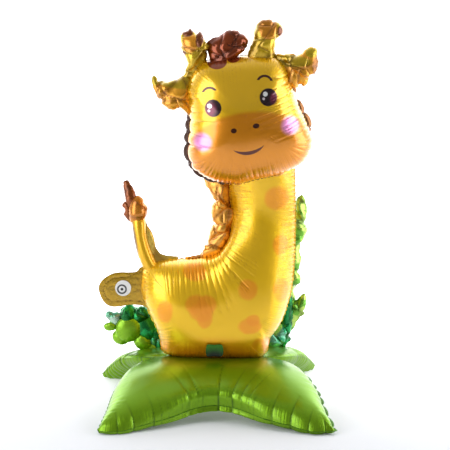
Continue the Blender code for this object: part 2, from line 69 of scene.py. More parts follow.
# Middle of the balloon in the frame, and the upright planes of its envelopes' seams
FRAME_X, FRAME_Y = -1.72 * MM, 7.49 * MM
BODY_PLANE = FRAME_Y
FACE_PLANE = BODY_PLANE - 97.8 * MM
PLANT_PLANE = BODY_PLANE + 93.0 * MM

Array = np.ndarray
Tree = bpy.types.NodeTree
Node = bpy.types.Node
Socket = bpy.types.NodeSocket
Pair = tuple[float, float]
Points = Sequence[Pair]
MarkRow = tuple[str, Pair, Pair, str, dict]


# Photograph and its camera

@dataclass(frozen=True)
class PhotoView:
    """The photograph's camera, which turns its pixels into places on an upright plane."""

    distance: float = 3.3
    pitch: float = 10.2
    lens: float = 146.67
    aim_x: float = FRAME_X + 25 * MM
    aim_y: float = FRAME_Y
    aim_z: float = 0.323
    pixels: float = 450.0
    sensor: float = 36.0

    @property
    def eye(self) -> Array:
        """Place of the camera: distance from its aim, raised by the pitch.

        Returns:
            Its x, y and z.
        """
        tilt = np.radians(self.pitch)
        return np.array([
            self.aim_x, self.aim_y - self.distance * np.cos(tilt), self.aim_z + self.distance * np.sin(tilt)
        ])

    def place(self, pixels: Points, depth: float) -> Array:
        """Follow pixels of the photograph to the upright plane y = depth.

        Args:
            pixels: Columns and rows in the photograph.
            depth: The plane's y.

        Returns:
            One row of x and z for each pixel.
        """
        tilt = np.radians(self.pitch)
        focal = self.lens / self.sensor * self.pixels
        across, down = (np.asarray(pixels, dtype=float) - self.pixels / 2).T / focal
        ray_y = np.cos(tilt) - down * np.sin(tilt)
        ray_z = -np.sin(tilt) - down * np.cos(tilt)
        reach = (depth - self.eye[1]) / ray_y
        return np.stack([self.eye[0] + across * reach, self.eye[2] + ray_z * reach], axis=1)

    def spot(self, pixel: Pair, depth: float) -> Pair:
        """Follow one pixel to the upright plane y = depth, and give its x and z."""
        x, z = self.place([pixel], depth)[0]
        return float(x), float(z)

    def make_camera(self) -> None:
        """Put the camera in the scene."""
        data = bpy.data.cameras.new("photo_camera")
        data.lens = self.lens
        data.sensor_width = self.sensor
        camera = bpy.data.objects.new("photo_camera", data)
        camera.location = self.eye
        camera.rotation_euler = (np.pi / 2 - np.radians(self.pitch), 0.0, 0.0)
        bpy.context.scene.collection.objects.link(camera)
        bpy.context.scene.camera = camera


VIEW = PhotoView()


# Curves

def through(points: Points, count: int, closed: bool = False) -> Array:
    """Carry a smooth curve through the points, a cubic between each two.

    Args:
        points: The points to pass through.
        count: How many evenly spaced points to give back.
        closed: Whether the curve comes back to its start.

    Returns:
        The evenly spaced points.
    """
    knots = np.asarray(points, dtype=float)
    if closed:
        knots = np.vstack([knots[-1:], knots, knots[:2]])
    else:
        knots = np.vstack([2 * knots[:1] - knots[1:2], knots, 2 * knots[-1:] - knots[-2:-1]])
    before, start, end, after = (knots[k:len(knots) - 3 + k, None] for k in range(4))
    step = np.linspace(0.0, 1.0, CURVE_STEPS, endpoint=False)[None, :, None]
    cube, square = step ** 3, step ** 2
    dense = (
        (2 * cube - 3 * square + 1) * start + (cube - 2 * square + step) * (end - before) / 2
        + (3 * square - 2 * cube) * end + (cube - square) * (after - start) / 2
    ).reshape(-1, knots.shape[1])
    dense = np.vstack([dense, knots[-2:-1]])
    run = np.concatenate([[0.0], np.cumsum(np.linalg.norm(np.diff(dense, axis=0), axis=1))])
    wanted = np.linspace(0.0, run[-1], count, endpoint=not closed)
    return np.stack([np.interp(wanted, run, column) for column in dense.T], axis=1)


def ellipse(centre: Pair, half: Pair, turn: float = 0.0, count: int = 16) -> Array:
    """Give the outline of an ellipse: half times cosine and sine, turned about its centre.

    Args:
        centre: Its middle.
        half: Its half width and half height.
        turn: How far it is turned, in degrees.
        count: How many points to give back.

    Returns:
        The outline's points.
    """
    angle = np.linspace(0.0, 2 * np.pi, count, endpoint=False)
    lean = np.radians(turn)
    wide, high = half[0] * np.cos(angle), half[1] * np.sin(angle)
    return np.stack([
        centre[0] + wide * np.cos(lean) - high * np.sin(lean),
        centre[1] + wide * np.sin(lean) + high * np.cos(lean),
    ], axis=1)


def coons(sides: tuple[Array, Array, Array, Array], rows: Array, cols: Array) -> Array:
    """Fill four border curves with a grid: the two ruled grids less the corners' bilinear one.

    Args:
        sides: Border at share 0 and 1 of the columns, then at share 0 and 1 of the rows.
        rows: Shares of the rows.
        cols: Shares of the columns.

    Returns:
        The grid's points, rows by columns.
    """
    left, right, first, last = (
        np.stack([np.interp(share, np.linspace(0, 1, len(side)), axis) for axis in side.T], axis=1)
        for side, share in zip(sides, (rows, rows, cols, cols))
    )
    p = rows[:, None, None]
    c = cols[None, :, None]
    ruled = (1 - c) * left[:, None] + c * right[:, None] + (1 - p) * first[None] + p * last[None]
    corners = (1 - p) * ((1 - c) * left[0] + c * right[0]) + p * ((1 - c) * left[-1] + c * right[-1])
    return ruled - corners


def reach_share(spots: Array, ring: Array, middle: Array) -> Array:
    """Work out how far out places are: distance from the middle over the ring's in that direction.

    Args:
        spots: The places, in two axes.
        ring: Points of the ring round the middle.
        middle: The middle.

    Returns:
        The share for each place, 1 on the ring and beyond it.
    """
    spoke = ring - middle
    angle = np.arctan2(spoke[:, 1], spoke[:, 0])
    order = np.argsort(angle)
    offset = spots - middle
    radius = np.interp(
        np.arctan2(offset[..., 1], offset[..., 0]), angle[order],
        np.linalg.norm(spoke, axis=1)[order], period=2 * np.pi,
    )
    return np.clip(np.linalg.norm(offset, axis=-1) / radius, 0.0, 1.0)


def smooth_step(value: Array) -> Array:
    """Ease a share in and out: v^2 (3 - 2v)."""
    return value * value * (3 - 2 * value)


def eased(count: int, ease: float) -> Array:
    """Give shares from 0 to 1 that lie closer together near both ends."""
    even = np.linspace(0.0, 1.0, count)
    return (1 - ease) * even + ease * (1 - np.cos(np.pi * even)) / 2


# Seams, gathers and shells

class Axes(Enum):
    """The two axes that an envelope was cut flat on, and the one that it was blown up along."""

    UPRIGHT = (0, 2, 1)
    LYING = (0, 1, 2)


class Seam:
    """A closed weld line, with the run along it."""

    def __init__(self, points: Array, axes: Axes) -> None:
        """Measure the run along a weld and its direction.

        Args:
            points: Evenly spaced points.
            axes: The axes of the flat film.
        """
        self.points = points
        self.axes = axes
        nxt = np.roll(points, -1, axis=0)
        steps = np.linalg.norm(nxt - points, axis=1)
        self.run = np.concatenate([[0.0], np.cumsum(steps)[:-1]])
        self.length = float(steps.sum())
        tangent = (nxt - np.roll(points, 1, axis=0))[:, list(axes.value[:2])]
        self.tangent = tangent / np.linalg.norm(tangent, axis=1)[:, None]

    def nearest(self, verts: Array) -> tuple[Array, Array]:
        """Find how far along the seam each vertex stands, and how far from it over the film.

        The run is that of the nearest seam point, corrected along the tangent there. The distance
        is the hypotenuse of the flat distance and RISE_SHARE of the height that the film has risen.

        Args:
            verts: The vertices.

        Returns:
            The run and the distance of each.
        """
        flat_axes = list(self.axes.value[:2])
        flat = self.points[:, flat_axes]
        found = np.empty(len(verts), dtype=int)
        for start in range(0, len(verts), BATCH):
            part = verts[start:start + BATCH, flat_axes]
            gaps = (part[:, None, 0] - flat[None, :, 0]) ** 2 + (part[:, None, 1] - flat[None, :, 1]) ** 2
            found[start:start + BATCH] = gaps.argmin(axis=1)
        offset = verts[:, flat_axes] - flat[found]
        step = self.length / len(flat)
        slide = np.clip((offset * self.tangent[found]).sum(axis=1), -step, step)
        rise = verts[:, self.axes.value[2]] - self.points[found, self.axes.value[2]]
        return self.run[found] + slide, np.sqrt((offset ** 2).sum(axis=1) + (RISE_SHARE * rise) ** 2)

    def run_at(self, spot: Sequence[float]) -> float:
        """Give the run of the seam point nearest to a flat place."""
        flat = self.points[:, list(self.axes.value[:2])]
        return float(self.run[((flat - np.asarray(spot)) ** 2).sum(axis=1).argmin()])


@dataclass(frozen=True)
class Zone:
    """How film gathers, and the stretch of seam that this holds for, from start along the run."""

    pitch: float
    reach: float
    height: float
    start: Pair = (0.0, 0.0)
    end: Pair = (0.0, 0.0)

    @classmethod
    def seen(cls, rows: Sequence[tuple[Pair, Pair, float, float, float]], plane: float) -> "tuple[Zone, ...]":
        """Give the zones of a seam that the photograph shows.

        Args:
            rows: Start and end pixel, pitch and reach in millimetres, and height of each.
            plane: The seam's y.

        Returns:
            The zones.
        """
        return tuple(
            cls(pitch * MM, reach * MM, height, VIEW.spot(start, plane), VIEW.spot(end, plane))
            for start, end, pitch, reach, height in rows
        )


@dataclass
class Gathers:
    """Creases that run inwards from a seam, where the weld has drawn the film together."""

    # How the creases vary about their zone's measures
    REACH_RANGE: ClassVar[Pair] = (0.55, 1.35)
    HEIGHT_RANGE: ClassVar[Pair] = (0.7, 1.25)
    PITCH_RANGE: ClassVar[Pair] = (0.65, 1.4)
    # Shape of the film between two creases and how it fades inwards
    ARCH_POWER: ClassVar[float] = 0.6
    ARCH_LEVEL: ClassVar[float] = 0.92
    FADE_POWER: ClassVar[float] = 1.4
    FOLD_SHARPNESS: ClassVar[float] = 2.2

    run: Array
    reach: Array
    height: Array
    length: float

    @classmethod
    def lay(cls, seam: Seam, zones: Sequence[Zone], rest: Zone, seed: int,
            long_ones: Sequence[tuple[Pair, float]] = (), pinch: float = 0.20) -> "Gathers":
        """Set creases along a seam, their pitch and reach varied at random within each zone.

        Args:
            seam: The weld line.
            zones: Stretches with their own pitch, reach and height.
            rest: What holds outside the zones.
            seed: Start of the random numbers.
            long_ones: Places of single longer creases, each with its reach.
            pinch: The height of those.

        Returns:
            The creases, sorted along the seam.
        """
        rng = np.random.default_rng(seed)
        spans = [(seam.run_at(zone.start), seam.run_at(zone.end), zone) for zone in zones]
        creases = []
        run = 0.0
        while run < seam.length:
            here = rest
            for start, end, zone in spans:
                inside = start <= run < end if start < end else run >= start or run < end
                here = zone if inside else here
            reach = here.reach * rng.uniform(*cls.REACH_RANGE)
            creases.append((run, reach, here.height * rng.uniform(*cls.HEIGHT_RANGE)))
            run += here.pitch * rng.uniform(*cls.PITCH_RANGE)
        for spot, reach in long_ones:
            at = seam.run_at(spot)
            near = int(np.abs(np.array(creases)[:, 0] - at).argmin())
            creases[near] = (at, reach, pinch)
        return cls(*np.array(sorted(creases)).T, seam.length)

    def between(self, run: Array) -> tuple[Array, Array, Array]:
        """Find where each run lies between two creases.

        Args:
            run: Run along the seam.

        Returns:
            The crease before it, the gap to the next one, and the share of the gap passed.
        """
        ends = np.concatenate([self.run, [self.run[0] + self.length]])
        place = np.mod(run - self.run[0], self.length) + self.run[0]
        left = np.clip(np.searchsorted(ends, place, side="right") - 1, 0, len(self.run) - 1)
        gap = ends[left + 1] - ends[left]
        return left, gap, np.clip((place - ends[left]) / gap, 0.0, 1.0)

    def swell(self, run: Array, depth: Array) -> tuple[Array, Array]:
        """Work out how far the film stands off the smooth form.

        Between two creases it arches as (4u(1-u))^ARCH_POWER, which meets each crease steeply,
        less ARCH_LEVEL, so that the creases sink in more than the film swells out. The arch is a
        share of the creases' gap, and fades as exp(-(depth/reach)^FADE_POWER).

        Args:
            run: Run along the seam.
            depth: Distance from the seam.

        Returns:
            The height in metres, and how close each point is to a crease's bottom, from 0 to 1.
        """
        left, gap, u = self.between(run)
        right = (left + 1) % len(self.run)
        reach = (1 - u) * self.reach[left] + u * self.reach[right]
        height = (1 - u) * self.height[left] + u * self.height[right]
        fade = np.exp(-(depth / reach) ** self.FADE_POWER)
        arch = (4 * u * (1 - u)) ** self.ARCH_POWER
        fold = fade * np.clip(1 - self.FOLD_SHARPNESS * arch, 0.0, 1.0)
        return height * gap * fade * (arch - self.ARCH_LEVEL), fold


class Shell:
    """The skin of one envelope: vertices, faces, and where each vertex stands on the film."""

    # How many cells a crumple gives a volume of one cell's cube, and at least, what share of a
    # cell its border takes, and how much painted shade its creases get
    CELL_COUNT: ClassVar[float] = 1.3
    FEWEST_CELLS: ClassVar[int] = 4
    BORDER_PART: ClassVar[float] = 6.0
    CRUMPLE_FOLD: ClassVar[float] = 0.7

    def __init__(self, verts: Array, quads: Array, tris: Array, rim: Array) -> None:
        """Take the skin's faces, with nothing measured or folded yet.

        Args:
            verts: The vertices.
            quads: Four vertices for each four-sided face.
            tris: Three vertices for each triangle.
            rim: The ordered vertices of the weld line.
        """
        self.seam: Optional[Seam] = None
        self.verts = verts
        self.quads = quads
        self.tris = tris
        self.rim = rim
        self.run = np.zeros(len(verts))
        self.depth = np.zeros(len(verts))
        # How deep in a fold each vertex is, where the finish paints shade
        self.fold = np.zeros(len(verts))

    @classmethod
    def from_patch(cls, front: Array, back: Array) -> "Shell":
        """Join two panels over one four-sided grid along its border.

        Args:
            front: Points of the first panel, rows by columns by 3.
            back: Points of the second, with the same border.

        Returns:
            The closed skin.
        """
        rows, cols = front.shape[:2]
        inside = np.zeros((rows, cols), dtype=bool)
        inside[1:-1, 1:-1] = True
        face_index = np.arange(rows * cols).reshape(rows, cols)
        back_index = face_index.copy()
        back_index[inside] = rows * cols + np.arange(inside.sum())
        corners = [0, cols - 2, (rows - 2) * (cols - 1), (rows - 1) * (cols - 1) - 1]
        quads, tris = [], []
        for index, order in ((face_index, (0, 1, 2, 3)), (back_index, (3, 2, 1, 0))):
            cells = np.stack([index[:-1, :-1], index[1:, :-1], index[1:, 1:], index[:-1, 1:]], axis=-1)
            cells = cells.reshape(-1, 4)
            quads.append(np.delete(cells, corners, axis=0)[:, order])
            # A corner cell is split through its inner node, so that its two panels part there
            for cell, inner in zip(corners, (2, 1, 3, 0)):
                ring = np.roll(cells[cell], -inner)
                pair = np.array([[ring[0], ring[1], ring[2]], [ring[0], ring[2], ring[3]]])
                tris.append(pair if order[0] == 0 else pair[:, ::-1])
        rim = np.concatenate([
            face_index[:-1, 0], face_index[-1, :-1], face_index[:0:-1, -1], face_index[0, :0:-1]
        ])
        verts = np.vstack([front.reshape(-1, 3), back[inside]])
        return cls(verts, np.vstack(quads), np.vstack(tris), rim)

    @classmethod
    def from_rays(cls, panels: tuple[Array, Array], poles: tuple[Array, Array]) -> "Shell":
        """Join two panels made of rings that shrink from one seam to a pole each.

        Args:
            panels: Front and back points, rings by rays by 3, the seam first.
            poles: Front and back middle points.

        Returns:
            The closed skin.
        """
        rings, rays = panels[0].shape[:2]
        front = np.arange(rings * rays).reshape(rings, rays)
        back = np.vstack([front[:1], front[1:] + (rings - 1) * rays + 1])
        verts = np.vstack([
            panels[0].reshape(-1, 3), poles[0][None], panels[1][1:].reshape(-1, 3), poles[1][None]
        ])
        quads, tris = [], []
        for index, pole, order in ((front, rings * rays, 1), (back, len(verts) - 1, -1)):
            nxt = np.roll(index, -1, axis=1)
            ring = np.stack([index[:-1], nxt[:-1], nxt[1:], index[1:]], axis=-1).reshape(-1, 4)
            quads.append(ring[:, ::order])
            fan = np.stack([index[-1], nxt[-1], np.full(rays, pole)], axis=-1)
            tris.append(fan[:, ::order])
        return cls(verts, np.vstack(quads), np.vstack(tris), front[0])

    @classmethod
    def from_outline(cls, outline: Array, plane: float, full: float, spacing: float) -> "Shell":
        """Blow up a flat outline like two soap films.

        The height is full times the root of p, where p solves "curvature = -4" over the outline
        with p = 0 on its edge, so a disc becomes a ball and a strip an arch.

        Args:
            outline: Closed outline in x and z.
            plane: The seam's y.
            full: Height over a round cushion's.
            spacing: Distance between vertices.

        Returns:
            The closed skin.
        """
        length = np.linalg.norm(np.roll(outline, -1, axis=0) - outline, axis=1).sum()
        edge = through(outline, max(16, int(length / spacing)), closed=True)
        flat, faces, degree, ends = flat_mesh(edge, spacing)
        count = len(edge)
        height = full * np.sqrt(film_height(count, degree, ends, len(flat), spacing))
        inner = np.arange(count, len(flat))
        back_of = np.concatenate([np.arange(count), len(flat) + np.arange(len(inner))])
        verts = np.vstack([
            np.stack([flat[:, 0], plane - height, flat[:, 1]], axis=1),
            np.stack([flat[inner, 0], plane + height[inner], flat[inner, 1]], axis=1),
        ])
        tris = np.vstack([faces, back_of[faces][:, ::-1]])
        shell = cls(verts, np.empty((0, 4), dtype=int), tris, np.arange(count))
        weld = np.stack([edge[:, 0], np.full(count, plane), edge[:, 1]], axis=1)
        shell.measure(Seam(weld, Axes.UPRIGHT))
        return shell

    def measure(self, seam: Seam) -> None:
        """Note each vertex's run along the seam and its distance from it."""
        self.seam = seam
        self.run, self.depth = seam.nearest(self.verts)

    def normals(self) -> Array:
        """Average the faces' normals at each vertex, weighted by their areas.

        Returns:
            One unit vector for each vertex.
        """
        total = np.zeros_like(self.verts)
        for faces in (self.quads, self.tris):
            if not len(faces):
                continue
            corner = self.verts[faces]
            if faces.shape[1] == 4:
                cross = np.cross(corner[:, 2] - corner[:, 0], corner[:, 3] - corner[:, 1])
            else:
                cross = np.cross(corner[:, 1] - corner[:, 0], corner[:, 2] - corner[:, 0])
            for k in range(faces.shape[1]):
                for axis in range(3):
                    total[:, axis] += np.bincount(faces[:, k], cross[:, axis], minlength=len(total))
        return total / np.maximum(np.linalg.norm(total, axis=1), 1e-12)[:, None]

    def outward(self) -> Array:
        """Turn the normals so that they point out of the skin, whichever way its faces were listed.

        Returns:
            One unit vector for each vertex.
        """
        normals = self.normals()
        middle = self.verts.mean(axis=0)
        return normals if ((self.verts - middle) * normals).sum() > 0 else -normals

    def push(self, amount: Array) -> None:
        """Move the skin outwards by an amount at each vertex."""
        self.verts = self.verts + self.outward() * amount[:, None]

    def gather(self, creases: Gathers) -> None:
        """Pinch the film along its creases, and note how deep in a fold each vertex is.

        Args:
            creases: The gathers along its seam.
        """
        swell, fold = creases.swell(self.run, self.depth)
        self.push(swell)
        self.fold = np.maximum(self.fold, fold)

    def crumple(self, cell: float, amount: float, seed: int, tilt: float) -> None:
        """Break the film into flat facets with creased edges.

        Random points share out the skin among cells of about the given size. Each cell tilts at
        random, and dips by amount times exp(-(F2-F1)/(cell/6)) at its border, where F1 and F2 are
        the distances to the nearest two points.

        Args:
            cell: Size of a facet.
            amount: Depth of the creases between facets.
            seed: Start of the random numbers.
            tilt: How steeply the facets lean.
        """
        rng = np.random.default_rng(seed)
        low, high = self.verts.min(axis=0), self.verts.max(axis=0)
        span = np.maximum(high - low, cell)
        count = max(self.FEWEST_CELLS, int(self.CELL_COUNT * np.prod(span) / cell ** 3))
        seeds = low + rng.random((count, 3)) * span
        lean = rng.normal(size=(count, 3)) * tilt
        amounts = np.empty(len(self.verts))
        border = np.empty(len(self.verts))
        for start in range(0, len(self.verts), BATCH):
            part = self.verts[start:start + BATCH]
            gaps = np.linalg.norm(part[:, None] - seeds[None], axis=2)
            first = gaps.argmin(axis=1)
            pair = np.partition(gaps, 1, axis=1)[:, :2]
            near = np.exp(-(pair[:, 1] - pair[:, 0]) / (cell / self.BORDER_PART))
            slope = ((part - seeds[first]) * lean[first]).sum(axis=1)
            amounts[start:start + BATCH] = slope * (1 - near) - amount * near
            border[start:start + BATCH] = near
        self.push(amounts)
        self.fold = np.maximum(self.fold, self.CRUMPLE_FOLD * border)

    def crease(self, lines: Sequence[tuple[Pair, Pair]], width: float, amount: float) -> None:
        """Press grooves into the film along straight lines.

        Each groove is amount deep and dies away as exp(-distance/width), and to nothing past
        the line's ends.

        Args:
            lines: Start and end of each groove, in x and z.
            width: How fast the groove's sides rise.
            amount: Its depth.
        """
        press = np.zeros(len(self.verts))
        flat = self.verts[:, [0, 2]]
        for start, end in lines:
            a, b = np.asarray(start), np.asarray(end)
            along = np.clip(((flat - a) @ (b - a)) / ((b - a) @ (b - a)), 0.0, 1.0)
            gap = np.linalg.norm(flat - (a + along[:, None] * (b - a)), axis=1)
            press = np.maximum(press, np.exp(-gap / width))
        self.push(-amount * press)
        self.fold = np.maximum(self.fold, press ** 3)

    def make(self, name: str) -> bpy.types.Object:
        """Put the skin into a mesh object.

        Args:
            name: The piece's name.

        Returns:
            The object, with run and distance as its UV map and folds as an attribute.
        """
        mesh = bpy.data.meshes.new(name)
        faces = self.quads.tolist() + self.tris.tolist()
        mesh.from_pydata(self.verts.tolist(), [], faces)
        mesh.update()
        work = bmesh.new()
        work.from_mesh(mesh)
        bmesh.ops.recalc_face_normals(work, faces=work.faces)
        work.to_mesh(mesh)
        work.free()
        mesh.polygons.foreach_set("use_smooth", np.ones(len(mesh.polygons), dtype=bool))
        corner = np.empty(len(mesh.loops), dtype=np.int32)
        mesh.loops.foreach_get("vertex_index", corner)
        chart = mesh.uv_layers.new(name="film")
        chart.data.foreach_set("uv", np.stack([self.run[corner], self.depth[corner]], axis=1).ravel())
        attribute = mesh.attributes.new("fold", "FLOAT", "POINT")
        attribute.data.foreach_set("value", self.fold.astype(np.float32))
        ends = np.empty(2 * len(mesh.edges), dtype=np.int32)
        mesh.edges.foreach_get("vertices", ends)
        on_rim = np.zeros(len(self.verts), dtype=bool)
        on_rim[self.rim] = True
        sharp = mesh.attributes.new("sharp_edge", "BOOLEAN", "EDGE")
        sharp.data.foreach_set("value", on_rim[ends].reshape(-1, 2).all(axis=1))
        item = bpy.data.objects.new(name, mesh)
        bpy.context.scene.collection.objects.link(item)
        return item


def flat_mesh(edge: Array, spacing: float) -> tuple[Array, Array, Array, Array]:
    """Fill a closed outline with a net of even triangles, joined to the edge by Delaunay's rule.

    Args:
        edge: The outline's points.
        spacing: Distance between the points of the net.

    Returns:
        All points with the edge first, the triangles, each point's number of neighbours, and the
        net's edges.
    """
    low, high = edge.min(axis=0), edge.max(axis=0)
    columns = np.arange(low[0], high[0], spacing)
    rows = np.arange(low[1], high[1], spacing * np.sqrt(0.75))
    x, y = np.meshgrid(columns, rows)
    x = x + 0.5 * spacing * (np.arange(len(rows)) % 2)[:, None]
    net = np.stack([x.ravel(), y.ravel()], axis=1)
    a, b = edge, np.roll(edge, -1, axis=0)
    crosses = (a[None, :, 1] > net[:, None, 1]) != (b[None, :, 1] > net[:, None, 1])
    slope = (b[:, 0] - a[:, 0]) / np.where(b[:, 1] == a[:, 1], 1.0, b[:, 1] - a[:, 1])
    hit = net[:, None, 0] < a[None, :, 0] + slope[None] * (net[:, None, 1] - a[None, :, 1])
    inside = (crosses & hit).sum(axis=1) % 2 == 1
    clear = ((net[:, None] - edge[None]) ** 2).sum(axis=2).min(axis=1) > (0.6 * spacing) ** 2
    points = np.vstack([edge, net[inside & clear]])
    made = geometry.delaunay_2d_cdt(
        [Vector(p) for p in points], [], [list(range(len(edge)))], 1, 1e-9
    )
    flat = np.array([tuple(v) for v in made[0]])
    faces = np.array([list(face) for face in made[2]])
    ends = np.vstack([faces[:, [0, 1]], faces[:, [1, 2]], faces[:, [2, 0]]])
    ends = np.unique(np.sort(ends, axis=1), axis=0)
    degree = np.bincount(ends.ravel(), minlength=len(flat)).astype(float)
    return flat, faces, degree, ends


def film_height(fixed: int, degree: Array, ends: Array, count: int, spacing: float) -> Array:
    """Solve for the film's height squared by conjugate gradients on the net.

    On a net of even triangles the sum of the drops to a point's neighbours is 1.5 spacing^2 times
    the curvature, so a curvature of 4 makes it 6 spacing^2.

    Args:
        fixed: How many of the first points are welded down.
        degree: Number of neighbours of each point.
        ends: The net's edges.
        count: Number of points.
        spacing: Distance between points.

    Returns:
        The height squared at each point.
    """
    rounds, close_enough = 400, 1e-8
    free = np.arange(count) >= fixed

    def spread(value: Array) -> Array:
        """Sum the drops from each free point to its neighbours.

        Args:
            value: The height squared at each point.

        Returns:
            The sum at each free point, and 0 at the fixed ones.
        """
        total = degree * value
        total -= np.bincount(ends[:, 0], value[ends[:, 1]], minlength=count)
        total -= np.bincount(ends[:, 1], value[ends[:, 0]], minlength=count)
        return np.where(free, total, 0.0)

    target = np.where(free, 6.0 * spacing ** 2, 0.0)
    height = np.zeros(count)
    left = target - spread(height)
    way = left.copy()
    power = left @ left
    for _ in range(rounds):
        step = spread(way)
        scale = power / (way @ step)
        height += scale * way
        left -= scale * step
        fresh = left @ left
        if fresh < close_enough * (target @ target):
            break
        way = left + fresh / power * way
        power = fresh
    return np.maximum(height, 0.0)


def weld_band(shell: Shell, creases: Gathers, axes: Axes, width: Array, lean: float = 0.0) -> Shell:
    """Run the flat weld margin around a shell's seam.

    Its section is a flat lens that starts just inside the seam and ends width outside it. Between
    two creases it is a crescent, (4u(1-u))^0.45 wide. Its outer edge stands back as share^1.5.

    Args:
        shell: The envelope, its gathers done.
        creases: Its gathers.
        axes: The axes that it lies flat on.
        width: The margin's width at each vertex of the rim.
        lean: How far its outer edge stands back along the third axis.

    Returns:
        The closed band.
    """
    path = shell.verts[shell.rim]
    flat = list(axes.value[:2])
    smooth = (np.roll(path, 1, axis=0) + path + np.roll(path, -1, axis=0)) / 3
    along = np.roll(smooth, -2, axis=0) - np.roll(smooth, 2, axis=0)
    out = np.zeros_like(path)
    out[:, flat[0]] = along[:, flat[1]]
    out[:, flat[1]] = -along[:, flat[0]]
    out /= np.maximum(np.linalg.norm(out, axis=1), 1e-9)[:, None]
    if ((path - path.mean(axis=0)) * out).sum() < 0:
        out = -out
    up = np.zeros(3)
    up[axes.value[2]] = 1.0
    _, _, u = creases.between(shell.run[shell.rim])
    reach = width * (4 * u * (1 - u)) ** 0.45
    section = ((-0.4, 0.0), (0.3, 0.22), (0.9, 0.22), (1.0, 0.0), (0.9, -0.22), (0.3, -0.22))
    loops = [
        path + out * (share * reach)[:, None] + up * (rise * MM + lean * max(share, 0.0) ** 1.5)
        for share, rise in section
    ]
    ring = np.stack(loops, axis=1)
    count, sides = ring.shape[:2]
    index = np.arange(count * sides).reshape(count, sides)
    nxt = np.roll(index, -1, axis=0)
    cells = np.stack([
        index, np.roll(index, -1, axis=1), np.roll(nxt, -1, axis=1), nxt
    ], axis=-1).reshape(-1, 4)
    band = Shell(ring.reshape(-1, 3), cells, np.empty((0, 3), dtype=int), np.empty(0, dtype=int))
    band.run = np.repeat(shell.run[shell.rim], sides)
    return band


# Finishes

def linear(code: str, share: float = 1.0) -> tuple[float, float, float, float]:
    """Turn an sRGB hex colour into linear RGBA.

    Args:
        code: The six hex digits.
        share: How much of its light to keep.

    Returns:
        Red, green and blue, and an alpha of 1.
    """
    parts = np.array([int(code[k:k + 2], 16) / 255 for k in (0, 2, 4)])
    line = np.where(parts <= 0.04045, parts / 12.92, ((parts + 0.055) / 1.055) ** 2.4)
    return (*(float(share * value) for value in line), 1.0)


def add_node(tree: Tree, kind: str, inputs: Optional[dict] = None, **settings: str) -> Node:
    """Add a node with its settings and links.

    Args:
        tree: The node tree.
        kind: Blender's name for the node.
        inputs: Value, or output socket to link, for each input name or number.
        settings: Attributes to set.

    Returns:
        The node.
    """
    node = tree.nodes.new(kind)
    for key, value in settings.items():
        setattr(node, key, value)
    for key, value in (inputs or {}).items():
        if isinstance(value, bpy.types.NodeSocket):
            tree.links.new(value, node.inputs[key])
        else:
            node.inputs[key].default_value = value
    return node


class Part(Enum):
    """Which part of an ellipse a printed mark keeps."""

    WHOLE = 0
    UPPER = 1


@dataclass(frozen=True)
class Mark:
    """An elliptical print in x and z, full or, where line is its width, only its outline.

    Its half sizes are in millimetres. The edge fades over soft, a share of its size. Of the upper
    part all above cut is kept, wobble is how far the edge strays, and bite is a second ellipse
    that is left bare.
    """

    name: str
    spot: Pair
    half: Pair
    colour: str
    turn: float = 0.0
    soft: float = 0.06
    line: float = 0.0
    part: Part = Part.WHOLE
    cut: float = 0.0
    strength: float = 1.0
    wobble: float = 0.0
    bite: Optional["Mark"] = None


